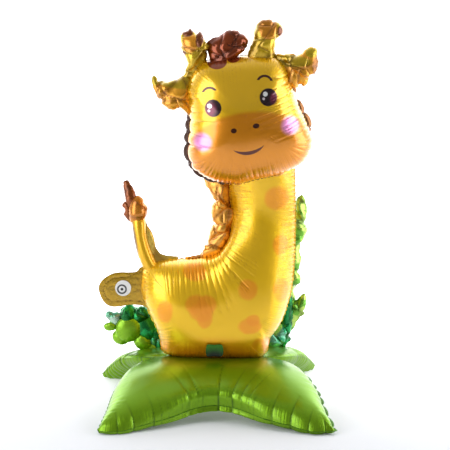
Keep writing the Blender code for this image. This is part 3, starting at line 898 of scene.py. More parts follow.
@dataclass(frozen=True)
class FoilFinish:
    """Polyester film, metallised by vapour and printed with transparent ink.

    The metal behind the ink mirrors the studio in the ink's colour, and the clear top coat adds
    a thin white reflection. Gathers show as dark and bright lines. The finest streaks beside a
    real weld are about 1 mm apart, too fine to show here, so they are drawn 3 mm apart.
    """

    FOLD_SHADE: ClassVar[float] = 0.9
    CLOUD_SHARE: ClassVar[float] = 0.90
    STREAK_STRETCH: ClassVar[float] = 14.0
    CUT_FADE: ClassVar[float] = 0.06

    name: str
    colour: str
    # Painted shade: the colour that the film darkens to in its folds
    deep: str
    marks: tuple[Mark, ...] = ()
    front_limit: Optional[float] = None
    metallic: float = 0.62
    roughness: float = 0.32
    coat: float = 0.6
    coat_ior: float = 1.5
    coat_roughness: float = 0.20
    streak_pitch: float = 3.0 * MM
    streak_depth: float = 0.3 * MM
    streak_reach: float = 10 * MM
    crinkle_size: float = 14 * MM
    crinkle_depth: float = 0.2 * MM
    blotch: Optional[str] = None
    blotch_size: float = 22 * MM
    blotch_share: float = 0.5

    def make(self) -> bpy.types.Material:
        """Build the material.

        Returns:
            The material, ready to put on a piece.
        """
        mat = bpy.data.materials.new(self.name)
        mat.use_nodes = True
        tree = mat.node_tree
        shader = tree.nodes["Principled BSDF"]
        place = add_node(tree, "ShaderNodeTexCoord")
        fold = add_node(tree, "ShaderNodeAttribute", attribute_name="fold")
        colour = self._ground(tree, place)
        for mark in self.marks:
            colour = self._print(tree, place, colour, mark)
        # Painted shade: in the folds the colour darkens towards the film's deep colour
        deepen = add_node(tree, "ShaderNodeMath", {
            0: fold.outputs["Fac"], 1: self.FOLD_SHADE,
        }, operation="MULTIPLY")
        shaded = add_node(tree, "ShaderNodeMix", {
            0: deepen.outputs[0], 6: colour, 7: linear(self.deep),
        }, data_type="RGBA", blend_type="MULTIPLY")
        tree.links.new(shaded.outputs[2], shader.inputs["Base Color"])
        tree.links.new(self._relief(tree, place), shader.inputs["Normal"])
        shader.inputs["Metallic"].default_value = self.metallic
        shader.inputs["Roughness"].default_value = self.roughness
        shader.inputs["Coat Weight"].default_value = self.coat
        shader.inputs["Coat Roughness"].default_value = self.coat_roughness
        shader.inputs["Coat IOR"].default_value = self.coat_ior
        return mat

    def _ground(self, tree: Tree, place: Node) -> Socket:
        """Give the film's own colour, faintly clouded, with patches of a second one where it has one.

        Args:
            tree: The material's nodes.
            place: Its coordinates.

        Returns:
            The colour.
        """
        clouds = add_node(tree, "ShaderNodeTexNoise", {
            "Vector": place.outputs["Object"], "Scale": 12.0, "Detail": 2.0,
        })
        tint = add_node(tree, "ShaderNodeMix", {
            0: clouds.outputs[0], 6: linear(self.colour), 7: linear(self.colour, self.CLOUD_SHARE),
        }, data_type="RGBA")
        if self.blotch is None:
            return tint.outputs[2]
        cells = add_node(tree, "ShaderNodeTexVoronoi", {
            "Vector": place.outputs["Object"], "Scale": 1.0 / self.blotch_size,
        }, feature="F1")
        pick = add_node(tree, "ShaderNodeSeparateColor", {0: cells.outputs["Color"]})
        chosen = add_node(tree, "ShaderNodeMath", {
            0: pick.outputs[0], 1: self.blotch_share,
        }, operation="LESS_THAN")
        patched = add_node(tree, "ShaderNodeMix", {
            0: chosen.outputs[0], 6: tint.outputs[2], 7: linear(self.blotch),
        }, data_type="RGBA")
        return patched.outputs[2]

    def _print(self, tree: Tree, place: Node, colour: Socket, mark: Mark) -> Socket:
        """Lay one mark over the colour, on the front only where the finish says so.

        Args:
            tree: The material's nodes.
            place: Its coordinates.
            colour: The colour so far.
            mark: What is printed.

        Returns:
            The colour with the mark on it.
        """
        mask = self._mask(tree, place, mark)
        limits = []
        if mark.bite is not None:
            limits.append(add_node(tree, "ShaderNodeMath", {
                0: 1.0, 1: self._mask(tree, place, mark.bite),
            }, operation="SUBTRACT"))
        if self.front_limit is not None:
            axes = add_node(tree, "ShaderNodeSeparateXYZ", {0: place.outputs["Object"]})
            limits.append(add_node(tree, "ShaderNodeMath", {
                0: axes.outputs[1], 1: self.front_limit,
            }, operation="LESS_THAN"))
        for limit in limits:
            mask = add_node(tree, "ShaderNodeMath", {
                0: mask, 1: limit.outputs[0],
            }, operation="MULTIPLY").outputs[0]
        return add_node(tree, "ShaderNodeMix", {
            0: mask, 6: colour, 7: linear(mark.colour),
        }, data_type="RGBA", label=mark.name).outputs[2]

    def _mask(self, tree: Tree, place: Node, mark: Mark) -> Socket:
        """Give a mark's share: full where the place's length in the ellipse's own unit is under 1.

        For a line it is full where that length is within 0.6 line of 1, and none past 1.2 line.

        Args:
            tree: The material's nodes.
            place: Its coordinates.
            mark: What is printed.

        Returns:
            The share, from 0 to the mark's strength.
        """
        source = place.outputs["Object"]
        if mark.wobble:
            wave = add_node(tree, "ShaderNodeTexNoise", {"Vector": source, "Scale": 45.0})
            centred = add_node(tree, "ShaderNodeVectorMath", {
                0: wave.outputs[1], 1: (0.5, 0.5, 0.5),
            }, operation="SUBTRACT")
            sized = add_node(tree, "ShaderNodeVectorMath", {
                0: centred.outputs[0], "Scale": mark.wobble,
            }, operation="SCALE")
            source = add_node(tree, "ShaderNodeVectorMath", {
                0: source, 1: sized.outputs[0],
            }, operation="ADD").outputs[0]
        # The ellipse holds all along y, so its half size there is 1 km
        local = add_node(tree, "ShaderNodeMapping", {
            "Vector": source, "Location": (mark.spot[0], 0.0, mark.spot[1]),
            "Rotation": (0.0, np.radians(mark.turn), 0.0),
            "Scale": (mark.half[0] * MM, 1000.0, mark.half[1] * MM),
        }, vector_type="TEXTURE")
        length = add_node(tree, "ShaderNodeVectorMath", {0: local.outputs[0]}, operation="LENGTH")
        value = length.outputs["Value"]
        low, high = 1.0 - mark.soft, 1.0 + mark.soft
        if mark.line:
            off = add_node(tree, "ShaderNodeMath", {0: value, 1: 1.0}, operation="SUBTRACT")
            value = add_node(tree, "ShaderNodeMath", {0: off.outputs[0]}, operation="ABSOLUTE").outputs[0]
            low, high = 0.6 * mark.line, 1.2 * mark.line
        mask = add_node(tree, "ShaderNodeMapRange", {
            0: value, 1: low, 2: high, 3: mark.strength, 4: 0.0,
        }, interpolation_type="SMOOTHSTEP").outputs[0]
        if mark.part is Part.WHOLE:
            return mask
        split = add_node(tree, "ShaderNodeSeparateXYZ", {0: local.outputs[0]})
        upper = add_node(tree, "ShaderNodeMapRange", {
            0: split.outputs[2], 1: mark.cut - self.CUT_FADE, 2: mark.cut + self.CUT_FADE,
        }, interpolation_type="SMOOTHSTEP")
        return add_node(tree, "ShaderNodeMath", {
            0: mask, 1: upper.outputs[0],
        }, operation="MULTIPLY").outputs[0]

    def _relief(self, tree: Tree, place: Node) -> Socket:
        """Raise the fine gathers beside the weld, long and narrow, and a slack crinkle all over.

        Args:
            tree: The material's nodes.
            place: Its coordinates.

        Returns:
            The normal.
        """
        stretch = add_node(tree, "ShaderNodeMapping", {
            "Vector": place.outputs["UV"],
            "Scale": (1.0 / self.streak_pitch, 1.0 / (self.STREAK_STRETCH * self.streak_pitch), 1.0),
        })
        streaks = add_node(tree, "ShaderNodeTexNoise", {
            "Vector": stretch.outputs[0], "Scale": 1.0, "Detail": 1.0,
        })
        chart = add_node(tree, "ShaderNodeSeparateXYZ", {0: place.outputs["UV"]})
        fade = add_node(tree, "ShaderNodeMapRange", {
            0: chart.outputs[1], 1: 0.0, 2: self.streak_reach, 3: 1.0, 4: 0.0,
        }, interpolation_type="SMOOTHSTEP")
        lines = add_node(tree, "ShaderNodeMath", {
            0: streaks.outputs[0], 1: fade.outputs[0],
        }, operation="MULTIPLY")
        streaked = add_node(tree, "ShaderNodeBump", {
            "Strength": 1.0, "Distance": self.streak_depth * 2, "Height": lines.outputs[0],
        })
        crinkle = add_node(tree, "ShaderNodeTexNoise", {
            "Vector": place.outputs["Object"], "Scale": 1.0 / self.crinkle_size, "Detail": 1.0,
        })
        crinkled = add_node(tree, "ShaderNodeBump", {
            "Strength": 1.0, "Distance": self.crinkle_depth, "Height": crinkle.outputs[0],
            "Normal": streaked.outputs[0],
        })
        return crinkled.outputs[0]


@dataclass(frozen=True)
class LeafFinish(FoilFinish):
    """The plant's film: patches of a second green, crinkled, with less coat and more metal."""

    # Painted shade in the leaves' folds
    deep: str = "0A4A20"
    metallic: float = 0.75
    roughness: float = 0.26
    coat: float = 0.3
    crinkle_size: float = 18 * MM
    crinkle_depth: float = 0.25 * MM
    blotch_share: float = 0.45


def dress(item: bpy.types.Object, mat: bpy.types.Material, node: str) -> None:
    """Give a piece its material and its place in the frame, and hide the CAD part that it stands for.

    Args:
        item: The piece.
        mat: Its material.
        node: The CAD node that it replaces.
    """
    item.data.materials.append(mat)
    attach(item, ROOT)
    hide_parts(node)
    LOG.info("%s: %d faces", item.name, len(item.data.polygons))


# Sub-assemblies

@dataclass
class Cushion:
    """The green four-footed cushion.

    Tips and waists are shares of the spread and the waist, the flanks shares of the way from a
    waist to a tip, each with its share of the bulge.
    """

    spread_x: float = 0.430
    spread_y: float = 0.450
    waist_x: float = 0.196
    waist_y: float = 0.325
    margin: float = 2.0 * MM
    grow: float = 8 * MM
    tuck: float = 24 * MM
    tuck_reach: float = 0.12
    ridge: float = 0.078
    edge: float = 0.006
    rise: float = 0.032
    drop: float = 0.038
    seat: float = 0.060
    side_bulge: float = 0.030
    end_bulge: float = 0.010
    tips: Points = ((-0.453, -0.515), (-0.492, 0.335), (0.472, 0.482), (0.500, -0.512))
    waists: Points = ((-0.445, 0.010), (0.020, 0.480), (0.510, 0.000), (0.045, -0.529))
    side_flank: Points = ((0.17, 0.80), (0.36, 1.00), (0.60, 0.77), (0.80, 0.32))
    end_flank: Points = ((0.18, -0.25), (0.40, 0.70), (0.62, 1.00), (0.84, 1.35))
    rows: int = 200
    cols: int = 224
    soft_edge: float = 0.15
    soft_rounds: int = 160
    tuck_start: float = 0.75
    long_pinch: float = 0.09
    rim_steps: int = 1300
    flank_steps: int = 300

    def side(self, first: int) -> Array:
        """Give the flank from one foot's tip over the waist to the next foot's tip, clockwise.

        Args:
            first: Number of the first foot.

        Returns:
            The flank's points in x and y, a smooth curve through the waist and the flank's shares.
        """
        slack = 2 * self.margin
        waist = np.array(self.waists[first]) * (self.waist_x - slack, self.waist_y - slack)
        shares = (self.side_flank, self.end_flank)[first % 2]
        bulge = (self.side_bulge, self.end_bulge)[first % 2]
        halves = []
        for foot, turn in ((first, 1.0), ((first + 1) % 4, -1.0)):
            tip = np.array(self.tips[foot]) * (self.spread_x - slack, self.spread_y - slack)
            along = tip - waist
            outward = turn * np.array([along[1], -along[0]]) / np.linalg.norm(along)
            flank = [waist + along * share + outward * swell * bulge for share, swell in shares]
            halves.append(flank + [tip])
        return through(halves[0][::-1] + [waist] + halves[1], self.flank_steps)

    def heights(self, x: Array, y: Array, t: Array) -> tuple[Array, Array]:
        """Give the heights of the top and underside.

        The seam's height falls from the ridge to the feet by 1 - reach^1.35. The top stands over
        it by sqrt(1 - t^3), and sqrt(1 - t^4) in the middle of the front, less where the torso
        sits. The underside hangs by sqrt(1 - t^2), down to the floor.

        Args:
            x: Places from the middle.
            y: The same along the other axis.
            t: How far out they are, 1 on the seam.

        Returns:
            The heights of the top and the underside.
        """
        tips = np.array(self.tips) * (self.spread_x, self.spread_y)
        front = np.interp(x, tips[[0, 3], 0], -tips[[0, 3], 1])
        back = np.interp(x, tips[[1, 2], 0], tips[[1, 2], 1])
        reach = np.clip(np.abs(y) / np.where(y < 0.0, front, back), 0.0, 1.0)
        middle = self.edge + (self.ridge - self.edge) * (1.0 - reach ** 1.35)
        waist = np.exp(-((x / self.tuck_reach) ** 2))
        seat = 1.0 - 0.8 * np.exp(-((y / self.seat) ** 2))
        top = self.rise * seat * np.sqrt(np.clip(1.0 - t ** (3.0 + waist), 0.0, 1.0))
        under = self.drop * np.sqrt(np.clip(1.0 - t ** 2.0, 0.0, 1.0))
        return middle + top, np.maximum(middle - under, 0.0)

    def softened(self, height: Array, t: Array) -> Array:
        """Round off the ridge over each foot.

        Each height moves to the mean of its four neighbours, again and again, less the closer it
        is to the seam.

        Args:
            height: Heights over the grid.
            t: How far out they are, 1 on the seam.

        Returns:
            The new heights.
        """
        weight = np.clip((1.0 - t[1:-1, 1:-1]) / self.soft_edge, 0.0, 1.0)
        height = height.copy()
        for _ in range(self.soft_rounds):
            rows, cols = height[:, 1:-1], height[1:-1]
            mean = (rows[:-2] + rows[2:] + cols[:, :-2] + cols[:, 2:]) / 4
            height[1:-1, 1:-1] += weight * (mean - height[1:-1, 1:-1])
        return height

    def tucked(self, grid: Array, t: Array) -> Array:
        """Bulge the front and back out over their seam, which the arch draws in.

        The film moves out by grow times t^2 and the seam in by tuck times the cube of the share of
        t past tuck_start, both less the farther they are from the middle.

        Args:
            grid: Places in x and y.
            t: How far out they are, 1 on the seam.

        Returns:
            The places moved.
        """
        weight = np.exp(-((grid[..., 0] / self.tuck_reach) ** 2)) * np.sign(grid[..., 1])
        outer = np.clip((t - self.tuck_start) / (1.0 - self.tuck_start), 0.0, 1.0)
        move = self.grow * t ** 2 - self.tuck * outer ** 3
        return np.dstack([grid[..., 0], grid[..., 1] + weight * move])

    def build(self) -> None:
        """Make the cushion and its weld margin."""
        west, north, east, south = (self.side(k) for k in range(4))
        rows, cols = eased(self.rows, 0.5), eased(self.cols, 0.5)
        grid = coons((west, east[::-1], south[::-1], north), rows, cols)
        ring = np.vstack([west[:-1], north[:-1], east[:-1], south[:-1]])
        share = reach_share(grid, ring, np.array([0.01 * self.spread_x, -0.01 * self.spread_y]))
        share[[0, -1]] = 1.0
        share[:, [0, -1]] = 1.0
        top, under = self.heights(grid[..., 0], grid[..., 1], share)
        top = self.softened(top, share)
        grid = self.tucked(grid, share) + np.array((FRAME_X, FRAME_Y))
        shell = Shell.from_patch(np.dstack([grid, top]), np.dstack([grid, under]))
        seam = Seam(through(shell.verts[shell.rim][::2], self.rim_steps, closed=True), Axes.LYING)
        shell.measure(seam)
        front_left, back_left, back_right, front_right = (
            (tip[0] * self.spread_x, tip[1] * self.spread_y) for tip in self.tips
        )
        rest = Zone(9 * MM, 22 * MM, 0.13)
        zones = (
            Zone(28 * MM, 28 * MM, 0.06, (-0.09, -0.2), front_left),
            Zone(14 * MM, 12 * MM, 0.02, (0.09, -0.2), (-0.09, -0.2)),
            Zone(28 * MM, 28 * MM, 0.06, front_right, (0.09, -0.2)),
            Zone(14 * MM, 80 * MM, 0.34, (-0.15, 0.06), back_left),
            Zone(14 * MM, 66 * MM, 0.26, back_left, (-0.08, 0.19)),
            Zone(14 * MM, 66 * MM, 0.26, (0.08, 0.19), back_right),
            Zone(14 * MM, 76 * MM, 0.32, back_right, (0.15, 0.08)),
            Zone(26 * MM, 16 * MM, 0.10, (0.15, -0.02), front_right),
        )
        # The long creases of the front, each with its x in metres and its reach in millimetres
        long_ones = tuple(((x, -0.16), reach * MM) for x, reach in (
            (-0.040, 52), (-0.020, 56), (0.010, 70), (0.034, 52), (0.052, 60), (0.070, 64),
        ))
        creases = Gathers.lay(seam, zones, rest, 11, long_ones, self.long_pinch)
        shell.gather(creases)
        shell.verts[:, 2] = np.maximum(shell.verts[:, 2], 0.0)
        finish = FoilFinish(
            "green_metallised_film", "74A200", "2E5604", streak_reach=30 * MM, metallic=0.75,
            roughness=0.33, coat=0.3, streak_depth=0.4 * MM,
        )
        dress(shell.make("cushion"), finish.make(), "base")
        # Painted shade: the weld margin is a darker green than the cushion, widest on the right flank where
        # the back panel's lobes lie in shade
        rim = shell.verts[shell.rim]
        on_right = (rim[:, 0] > 0.09) & (rim[:, 1] < 0.0)
        band = weld_band(shell, creases, Axes.LYING, np.where(on_right, 4.5, 1.5) * MM)
        band.verts[:, 2] = np.maximum(band.verts[:, 2], 0.0)
        shaded_weld_film = FoilFinish("green_weld_painted_shade_film", "457806", "2E5604", roughness=0.36, coat=0.2)
        dress(band.make("cushion_weld"), shaded_weld_film.make(), "base")


@dataclass
class Torso:
    """The yellow torso and neck, one envelope bent like a boot, its outline and spots in pixels.

    A zone has its two ends, its pitch and reach in millimetres, and its height. A long crease has
    its place and reach, a spot its middle, half sizes and turn. A pixel is that many millimetres.
    """

    plane: float = BODY_PLANE
    neck_thickness: float = 0.096
    torso_thickness: float = 0.126
    lean: float = 16 * MM
    rows: int = 400
    cols: int = 96
    curve_steps: int = 400
    rim_steps: int = 1300
    front_plane: float = BODY_PLANE - 55 * MM
    pixel: float = 1.76
    inner: Points = (
        (229.6, 145), (229.8, 168), (230, 190), (231.6, 206.9), (232.2, 216.2), (231.2, 228),
        (228.9, 236.3), (224.2, 244.4), (218.8, 250.4), (210.8, 254.4), (200.1, 257.1), (188, 258.4),
        (168.9, 259.5), (150, 262),
    )
    outer: Points = (
        (293.8, 145), (294, 165), (294.5, 180), (294.9, 206.9), (294.9, 230), (294.5, 253.7),
        (293.2, 272.5), (291.2, 288.6), (287.1, 304.6), (281.8, 319.4), (276.4, 328.7), (269.7, 337.8),
        (268.4, 346), (265.2, 353), (258, 356.4), (240.3, 356.8), (210, 356.4), (176.5, 355.6),
        (164, 352.6),
    )
    top: Points = ((229.6, 145), (240, 124), (279, 124), (293.8, 145))
    left: Points = (
        (150, 262), (143.5, 268), (141.6, 280), (141.6, 292), (147.2, 308), (152.3, 319.4),
        (157.4, 329.6), (160.6, 340), (161.4, 347.5), (164, 352.6),
    )
    zones: tuple = (
        ((229, 176), (231, 206), 6, 16, 0.12), ((231, 206), (229, 238), 6, 34, 0.18),
        ((229, 238), (196, 258), 6, 60, 0.20), ((196, 258), (150, 262), 7, 34, 0.16),
        ((150, 262), (142, 296), 8, 32, 0.17), ((142, 296), (163, 352), 13, 16, 0.07),
        ((163, 353), (264, 356), 9, 16, 0.09), ((264, 356), (287, 304), 14, 12, 0.06),
    )
    long_creases: tuple = (
        ((226, 241), 85), ((219, 250), 90), ((211, 254.4), 85), ((202, 257), 75), ((231, 226), 50),
        ((178, 259), 40),
    )
    spots: tuple = (
        ((195, 273.5), (12, 8.5), 0), ((196, 304), (10.5, 10), 0), ((207, 303.5), (10, 9.5), 0),
        ((201.5, 311), (12, 10), 0), ((205, 318), (7.5, 9.5), 10), ((165, 312), (8, 11.5), 4),
        ((247.6, 289), (9.6, 10.4), 0), ((250, 325.5), (11, 8), 0), ((253, 319.5), (6.5, 6), 0),
        ((277, 199), (12, 12), 0), ((281, 246), (8, 10.5), 0), ((281, 291), (7.6, 13), -6),
        ((262, 346), (10, 8), 20),
    )
    foot_glow: tuple = ((212, 356), (66, 15), 0)

    def across(self, grid: Array, sides: tuple[Array, ...], p: Array, c: Array) -> Array:
        """Work out the share of the way from the inner to the outer seam.

        In the neck it is inner / (inner + outer), the two nearest distances to the seams. Along the
        bend it goes over to the grid's own share c.

        Args:
            grid: Points of the grid in x and z.
            sides: The inner and the outer seam first.
            p: The rows' shares, from the neck's top to the torso's left end.
            c: The columns' shares.

        Returns:
            The share at each point.
        """
        spots = grid.reshape(-1, 2)
        inner, outer = (
            np.hypot(*(spots[:, None] - line[None, ::5]).transpose(2, 0, 1)).min(axis=1)
            .reshape(grid.shape[:2])
            for line in sides[:2]
        )
        straight = inner / np.maximum(inner + outer, 1e-9)
        return straight + (c - straight) * smooth_step(np.clip((p - 0.35) / 0.25, 0.0, 1.0))

    def half_thickness(self, p: Array, c: Array) -> Array:
        """Work out full times sqrt(1 - |2c-1|^n), closing in a like way at both ends.

        n is 1.9 on the inner side, 2.3 on the outer side of the neck and 5 along the torso's foot.

        Args:
            p: The rows' shares, from the neck's top to the torso's left end.
            c: The share of the way from the inner to the outer seam.

        Returns:
            Half the thickness at each point.
        """
        blend = smooth_step(np.clip((p - 0.25) / 0.40, 0.0, 1.0))
        full = self.neck_thickness / 2 + (self.torso_thickness - self.neck_thickness) / 2 * blend
        foot = smooth_step(np.clip((p - 0.45) / 0.20, 0.0, 1.0))
        power = np.where(c < 0.5, 1.9, 2.3 + 2.7 * foot)
        side = np.sqrt(np.clip(1.0 - np.abs(2 * c - 1) ** power, 0.0, 1.0))
        near = 1 - np.clip(p / 0.16, 0.0, 1.0)
        far = 1 - np.clip((1.0 - p) / 0.20, 0.0, 1.0)
        return full * side * np.sqrt(1 - near ** 2.2) * np.sqrt(1 - far ** 2.8)

    def mark(self, name: str, row: tuple[Pair, Pair, float], ink: str, **others: float) -> Mark:
        """Lay out one print of the torso.

        Args:
            name: What it is.
            row: Its middle and half sizes in pixels, and its turn in degrees.
            ink: Its colour.
            others: What else the mark says.

        Returns:
            The mark.
        """
        middle, (wide, high), turn = row
        half = (wide * self.pixel, high * self.pixel)
        return Mark(name, VIEW.spot(middle, self.front_plane), half, ink, turn, **others)

    def finish(self) -> FoilFinish:
        """Give the film its printed spots and a painted glow of deeper orange along its foot.

        Returns:
            The finish.
        """
        # Painted glow along the foot of the torso
        glow = self.mark("glow of the foot", self.foot_glow, "FF7A10", soft=0.6, strength=0.7)
        spots = (
            self.mark(f"spot {k}", row, "FA9A0C", soft=0.22, strength=0.80, wobble=6 * MM)
            for k, row in enumerate(self.spots, 1)
        )
        return FoilFinish(
            "yellow_metallised_film", "FFCA02", "B06A00", (glow, *spots), streak_reach=60 * MM,
            streak_depth=0.8 * MM, metallic=0.68, coat=0.6, coat_ior=1.6,
        )

    def build(self) -> None:
        """Make the torso and its weld margin."""
        sides = tuple(
            through(VIEW.place(points, self.plane), self.curve_steps)
            for points in (self.inner, self.outer, self.top, self.left)
        )
        p, c = eased(self.rows, 0.35), eased(self.cols, 0.65)
        grid = coons(sides, p, c)
        half = self.half_thickness(p[:, None], self.across(grid, sides, p[:, None], c[None, :]))
        bow = smooth_step(np.clip((0.35 - p) / 0.27, 0.0, 1.0))[:, None]
        y = self.plane - self.lean * bow * np.ones_like(half)
        front = np.dstack([grid[..., 0], y - half, grid[..., 1]])
        back = np.dstack([grid[..., 0], y + half, grid[..., 1]])
        shell = Shell.from_patch(front, back)
        seam = Seam(through(shell.verts[shell.rim], self.rim_steps, closed=True), Axes.UPRIGHT)
        shell.measure(seam)
        long_ones = [(VIEW.spot(spot, self.plane), reach * MM) for spot, reach in self.long_creases]
        creases = Gathers.lay(
            seam, Zone.seen(self.zones, self.plane), Zone(15 * MM, 12 * MM, 0.05), 5, long_ones
        )
        shell.gather(creases)
        mat = self.finish().make()
        dress(shell.make("torso"), mat, "body")
        band = weld_band(shell, creases, Axes.UPRIGHT, np.full(len(shell.rim), 1.4 * MM))
        dress(band.make("torso_weld"), mat, "body")


@dataclass
class Lobe:
    """A small crumpled envelope, drawn as an outline in the photograph.

    Its facets are as wide as cell, crumple deep between and leaning by tilt. Its gathers have a
    pitch, reach and height, and lines are grooves pressed into it.
    """

    name: str
    outline: Points
    plane: float
    full: float
    finish: FoilFinish
    node: str
    slot: str
    cell: float = 34 * MM
    crumple: float = 0.9 * MM
    tilt: float = 0.20
    pitch: float = 12 * MM
    reach: float = 10 * MM
    height: float = 0.14
    lines: Sequence[tuple[Pair, Pair]] = ()
    groove: float = 3.2 * MM
    groove_width: float = 2.2 * MM
    seed: int = 1
    spacing: float = 1.5 * MM

    def build(self) -> None:
        """Blow up the outline, gather it along its weld, crease and crumple it."""
        outline = VIEW.place(self.outline, self.plane)
        shell = Shell.from_outline(outline, self.plane, self.full, self.spacing)
        if self.height:
            rest = Zone(self.pitch, self.reach, self.height)
            shell.gather(Gathers.lay(shell.seam, (), rest, self.seed))
        if self.lines:
            lines = [(VIEW.spot(a, self.plane), VIEW.spot(b, self.plane)) for a, b in self.lines]
            shell.crease(lines, self.groove_width, self.groove)
        if self.crumple:
            shell.crumple(self.cell, self.crumple, self.seed, self.tilt)
        dress(shell.make(self.name), self.finish.make(), self.node)


@dataclass
class Head:
    """The face pillow, which hangs in front of the neck's top, its outline and zones in pixels."""

    plane: float = FACE_PLANE
    front: float = 0.062
    back: float = 0.048
    rays: int = 440
    rings: int = 60
    rim_steps: int = 1200
    face_rounds: int = 6
    middle: Pair = (248.5, 118.5)
    outline: Points = (
        (200.6, 63.8), (210, 60), (225, 57.4), (240, 56), (262, 55), (275, 57), (283, 62), (288, 69.5),
        (289.2, 78), (294, 90.5), (299, 106), (305.2, 119), (310, 131), (312.6, 140), (311, 150),
        (303.3, 162), (290.5, 169.6), (275.2, 175), (254.8, 179.6), (238, 183.6), (219, 181.6),
        (208.9, 178.6), (200, 173.5), (192.3, 167.1), (188.6, 157), (187.6, 144), (189.4, 130),
        (189.4, 114), (188.2, 102), (185.6, 91), (188.2, 82.5), (192, 74.5), (196.1, 68.4),
    )
    back_left: Points = (
        (188, 111), (186.6, 122), (186, 138), (186, 152), (187.6, 163), (192.6, 171.4), (201, 178),
        (212, 182.4), (224, 184.4), (222, 176), (205, 168), (197, 150), (195, 120),
    )
    back_right: Points = (
        (287, 82), (294.4, 85), (297.2, 91), (297, 97.6), (301, 101.6), (306.4, 110), (310.6, 119),
        (312.4, 128), (306, 134), (296, 120), (288, 98),
    )
    zones: tuple = (
        ((196, 68), (242, 56), 6.5, 24, 0.18), ((242, 56), (262, 55), 9, 8, 0.05),
        ((262, 55), (288, 70), 7, 24, 0.16), ((288, 70), (309, 130), 7.5, 54, 0.27),
        ((309, 130), (275, 175), 12, 22, 0.12), ((275, 175), (200, 174), 7.5, 24, 0.16),
        ((200, 174), (187.6, 144), 24, 20, 0.12), ((187.6, 144), (186, 90), 16, 26, 0.12),
        ((186, 90), (196, 68), 9, 20, 0.13),
    )
    long_creases: tuple = (
        ((291, 84), 60), ((296, 96), 66), ((300, 108), 62), ((186.5, 93), 34), ((189.5, 119), 30),
        ((187.6, 143), 28), ((229, 182.5), 34), ((243, 183), 30),
    )
    cheek_top: Pair = (200, 116)
    cheek_foot: Pair = (200, 166)
    chin_top: Pair = (200, 172)
    left_chin: tuple = ((238.2, 180.4), (4.0, 5.0))
    right_chin: tuple = ((278, 171.6), (7.4, 4.4), -18.0)
    printed: Sequence[MarkRow] = (
        ("muzzle", (252, 168), (128, 98), "E48604", {"turn": -7, "soft": 0.05, "strength": 0.88}),
        ("root of the left horn", (217, 62), (17, 11), "8C3A0A", {"turn": -4, "soft": 0.05}),
        ("root of the forelock", (233, 57), (11.5, 8), "8C3A0A", {"soft": 0.05}),
        ("left cheek", (202.5, 142.2), (14.5, 14.5), "F298DC", {"soft": 0.35, "strength": 0.88}),
        ("right cheek", (290.3, 125.4), (14.5, 14.5), "F298DC", {"soft": 0.35, "strength": 0.88}),
        ("left eye", (213.2, 108.3), (14.0, 15.0), "24040E", {}),
        # Painted reflection: a maroon sheen where the left softbox crosses the left eye
        ("painted sheen on the left eye", (210.6, 109.4), (9.0, 11.5), "7A2444", {"soft": 0.5, "strength": 0.85}),
        ("right eye", (268.3, 97.3), (14.8, 15.0), "24040E", {}),
        # Painted reflection: a maroon streak where the right softbox crosses the right eye
        ("painted sheen on the right eye", (273.6, 98.6), (6.0, 9.5), "6A1434", {"soft": 0.5, "strength": 0.8}),
        ("left gleam", (209.5, 106.1), (4.0, 4.0), "FFFFFF", {"soft": 0.15}),
        ("left glint", (208.9, 110.9), (2.2, 2.2), "F4E4E8", {"soft": 0.2}),
        ("right gleam", (265.3, 94.1), (4.0, 4.0), "FFFFFF", {"soft": 0.15}),
        ("right glint", (263.7, 98.9), (2.2, 2.2), "F4E4E8", {"soft": 0.2}),
        ("left brow", (209.8, 95.0), (12.5, 12), "421804",
         {"turn": -10, "line": 0.18, "part": Part.UPPER, "cut": 0.50}),
        ("right brow", (264.6, 83.3), (12.5, 12), "421804",
         {"turn": 4, "line": 0.18, "part": Part.UPPER, "cut": 0.38}),
        ("left nostril", (233.8, 130.9), (5.0, 4.2), "461E05", {"turn": -12, "soft": 0.12}),
        ("right nostril", (256.1, 126.0), (5.6, 4.3), "461E05", {"turn": -12, "soft": 0.12}),
    )
    smile: MarkRow = ("smile", (246.6, 135.2), (34.8, 34.8), "5A2406", {"soft": 0.012})
    smile_inside: MarkRow = ("above the smile", (243.4, 116.6), (60.6, 60.6), "24040E", {"soft": 0.008})

    def dome(self, t: Array) -> Array:
        """Share of the full bulge at t, which is 1 on the seam: sqrt(1 - t^2.6)."""
        return np.sqrt(np.clip(1.0 - t ** 2.6, 0.0, 1.0))

    def edge(self) -> Array:
        """Give the seam in x and z."""
        return through(VIEW.place(self.outline, self.plane), self.rays, closed=True)

    def on_face(self, pixel: Pair) -> Pair:
        """Follow a pixel to the bulged face: a few rounds of plane, bulge there, nearer plane.

        Args:
            pixel: Its column and row.

        Returns:
            Its place in x and z.
        """
        edge, middle = self.edge(), np.array(VIEW.spot(self.middle, self.plane))
        depth = self.plane - self.front
        for _ in range(self.face_rounds):
            spot = VIEW.spot(pixel, depth)
            share = reach_share(np.array(spot), edge, middle)
            depth = self.plane - self.front * float(self.dome(share))
        return spot

    def build(self) -> None:
        """Make the face, its weld margin and what shows behind and under it."""
        shell = self.pillow()
        seam = Seam(through(shell.verts[shell.rim], self.rim_steps, closed=True), Axes.UPRIGHT)
        shell.measure(seam)
        zones = Zone.seen(self.zones, self.plane)
        long_ones = [(VIEW.spot(spot, self.plane), reach * MM) for spot, reach in self.long_creases]
        creases = Gathers.lay(seam, zones, zones[3], 3, long_ones)
        shell.gather(creases)
        film = FoilFinish(
            "face_metallised_film", "F9C306", "B06A00", self.prints(), self.plane + 4 * MM,
            streak_reach=42 * MM, streak_depth=0.8 * MM, metallic=0.68, coat=0.8, coat_ior=1.6,
            coat_roughness=0.16,
        )
        dress(shell.make("face"), film.make(), "head")
        # Painted shade: the dark brown weld margin stands for the back panel's edge in shade, and under the
        # chin for the chin's shadow on the neck
        brown = FoilFinish("dark_brown_painted_shade_film", "42200A", "2A1204", metallic=0.4, coat=0.1)
        width = self.margin(shell.verts[shell.rim])
        band = weld_band(shell, creases, Axes.UPRIGHT, width, lean=9 * MM)
        dress(band.make("face_weld"), brown.make(), "head")
        self.edges(brown)

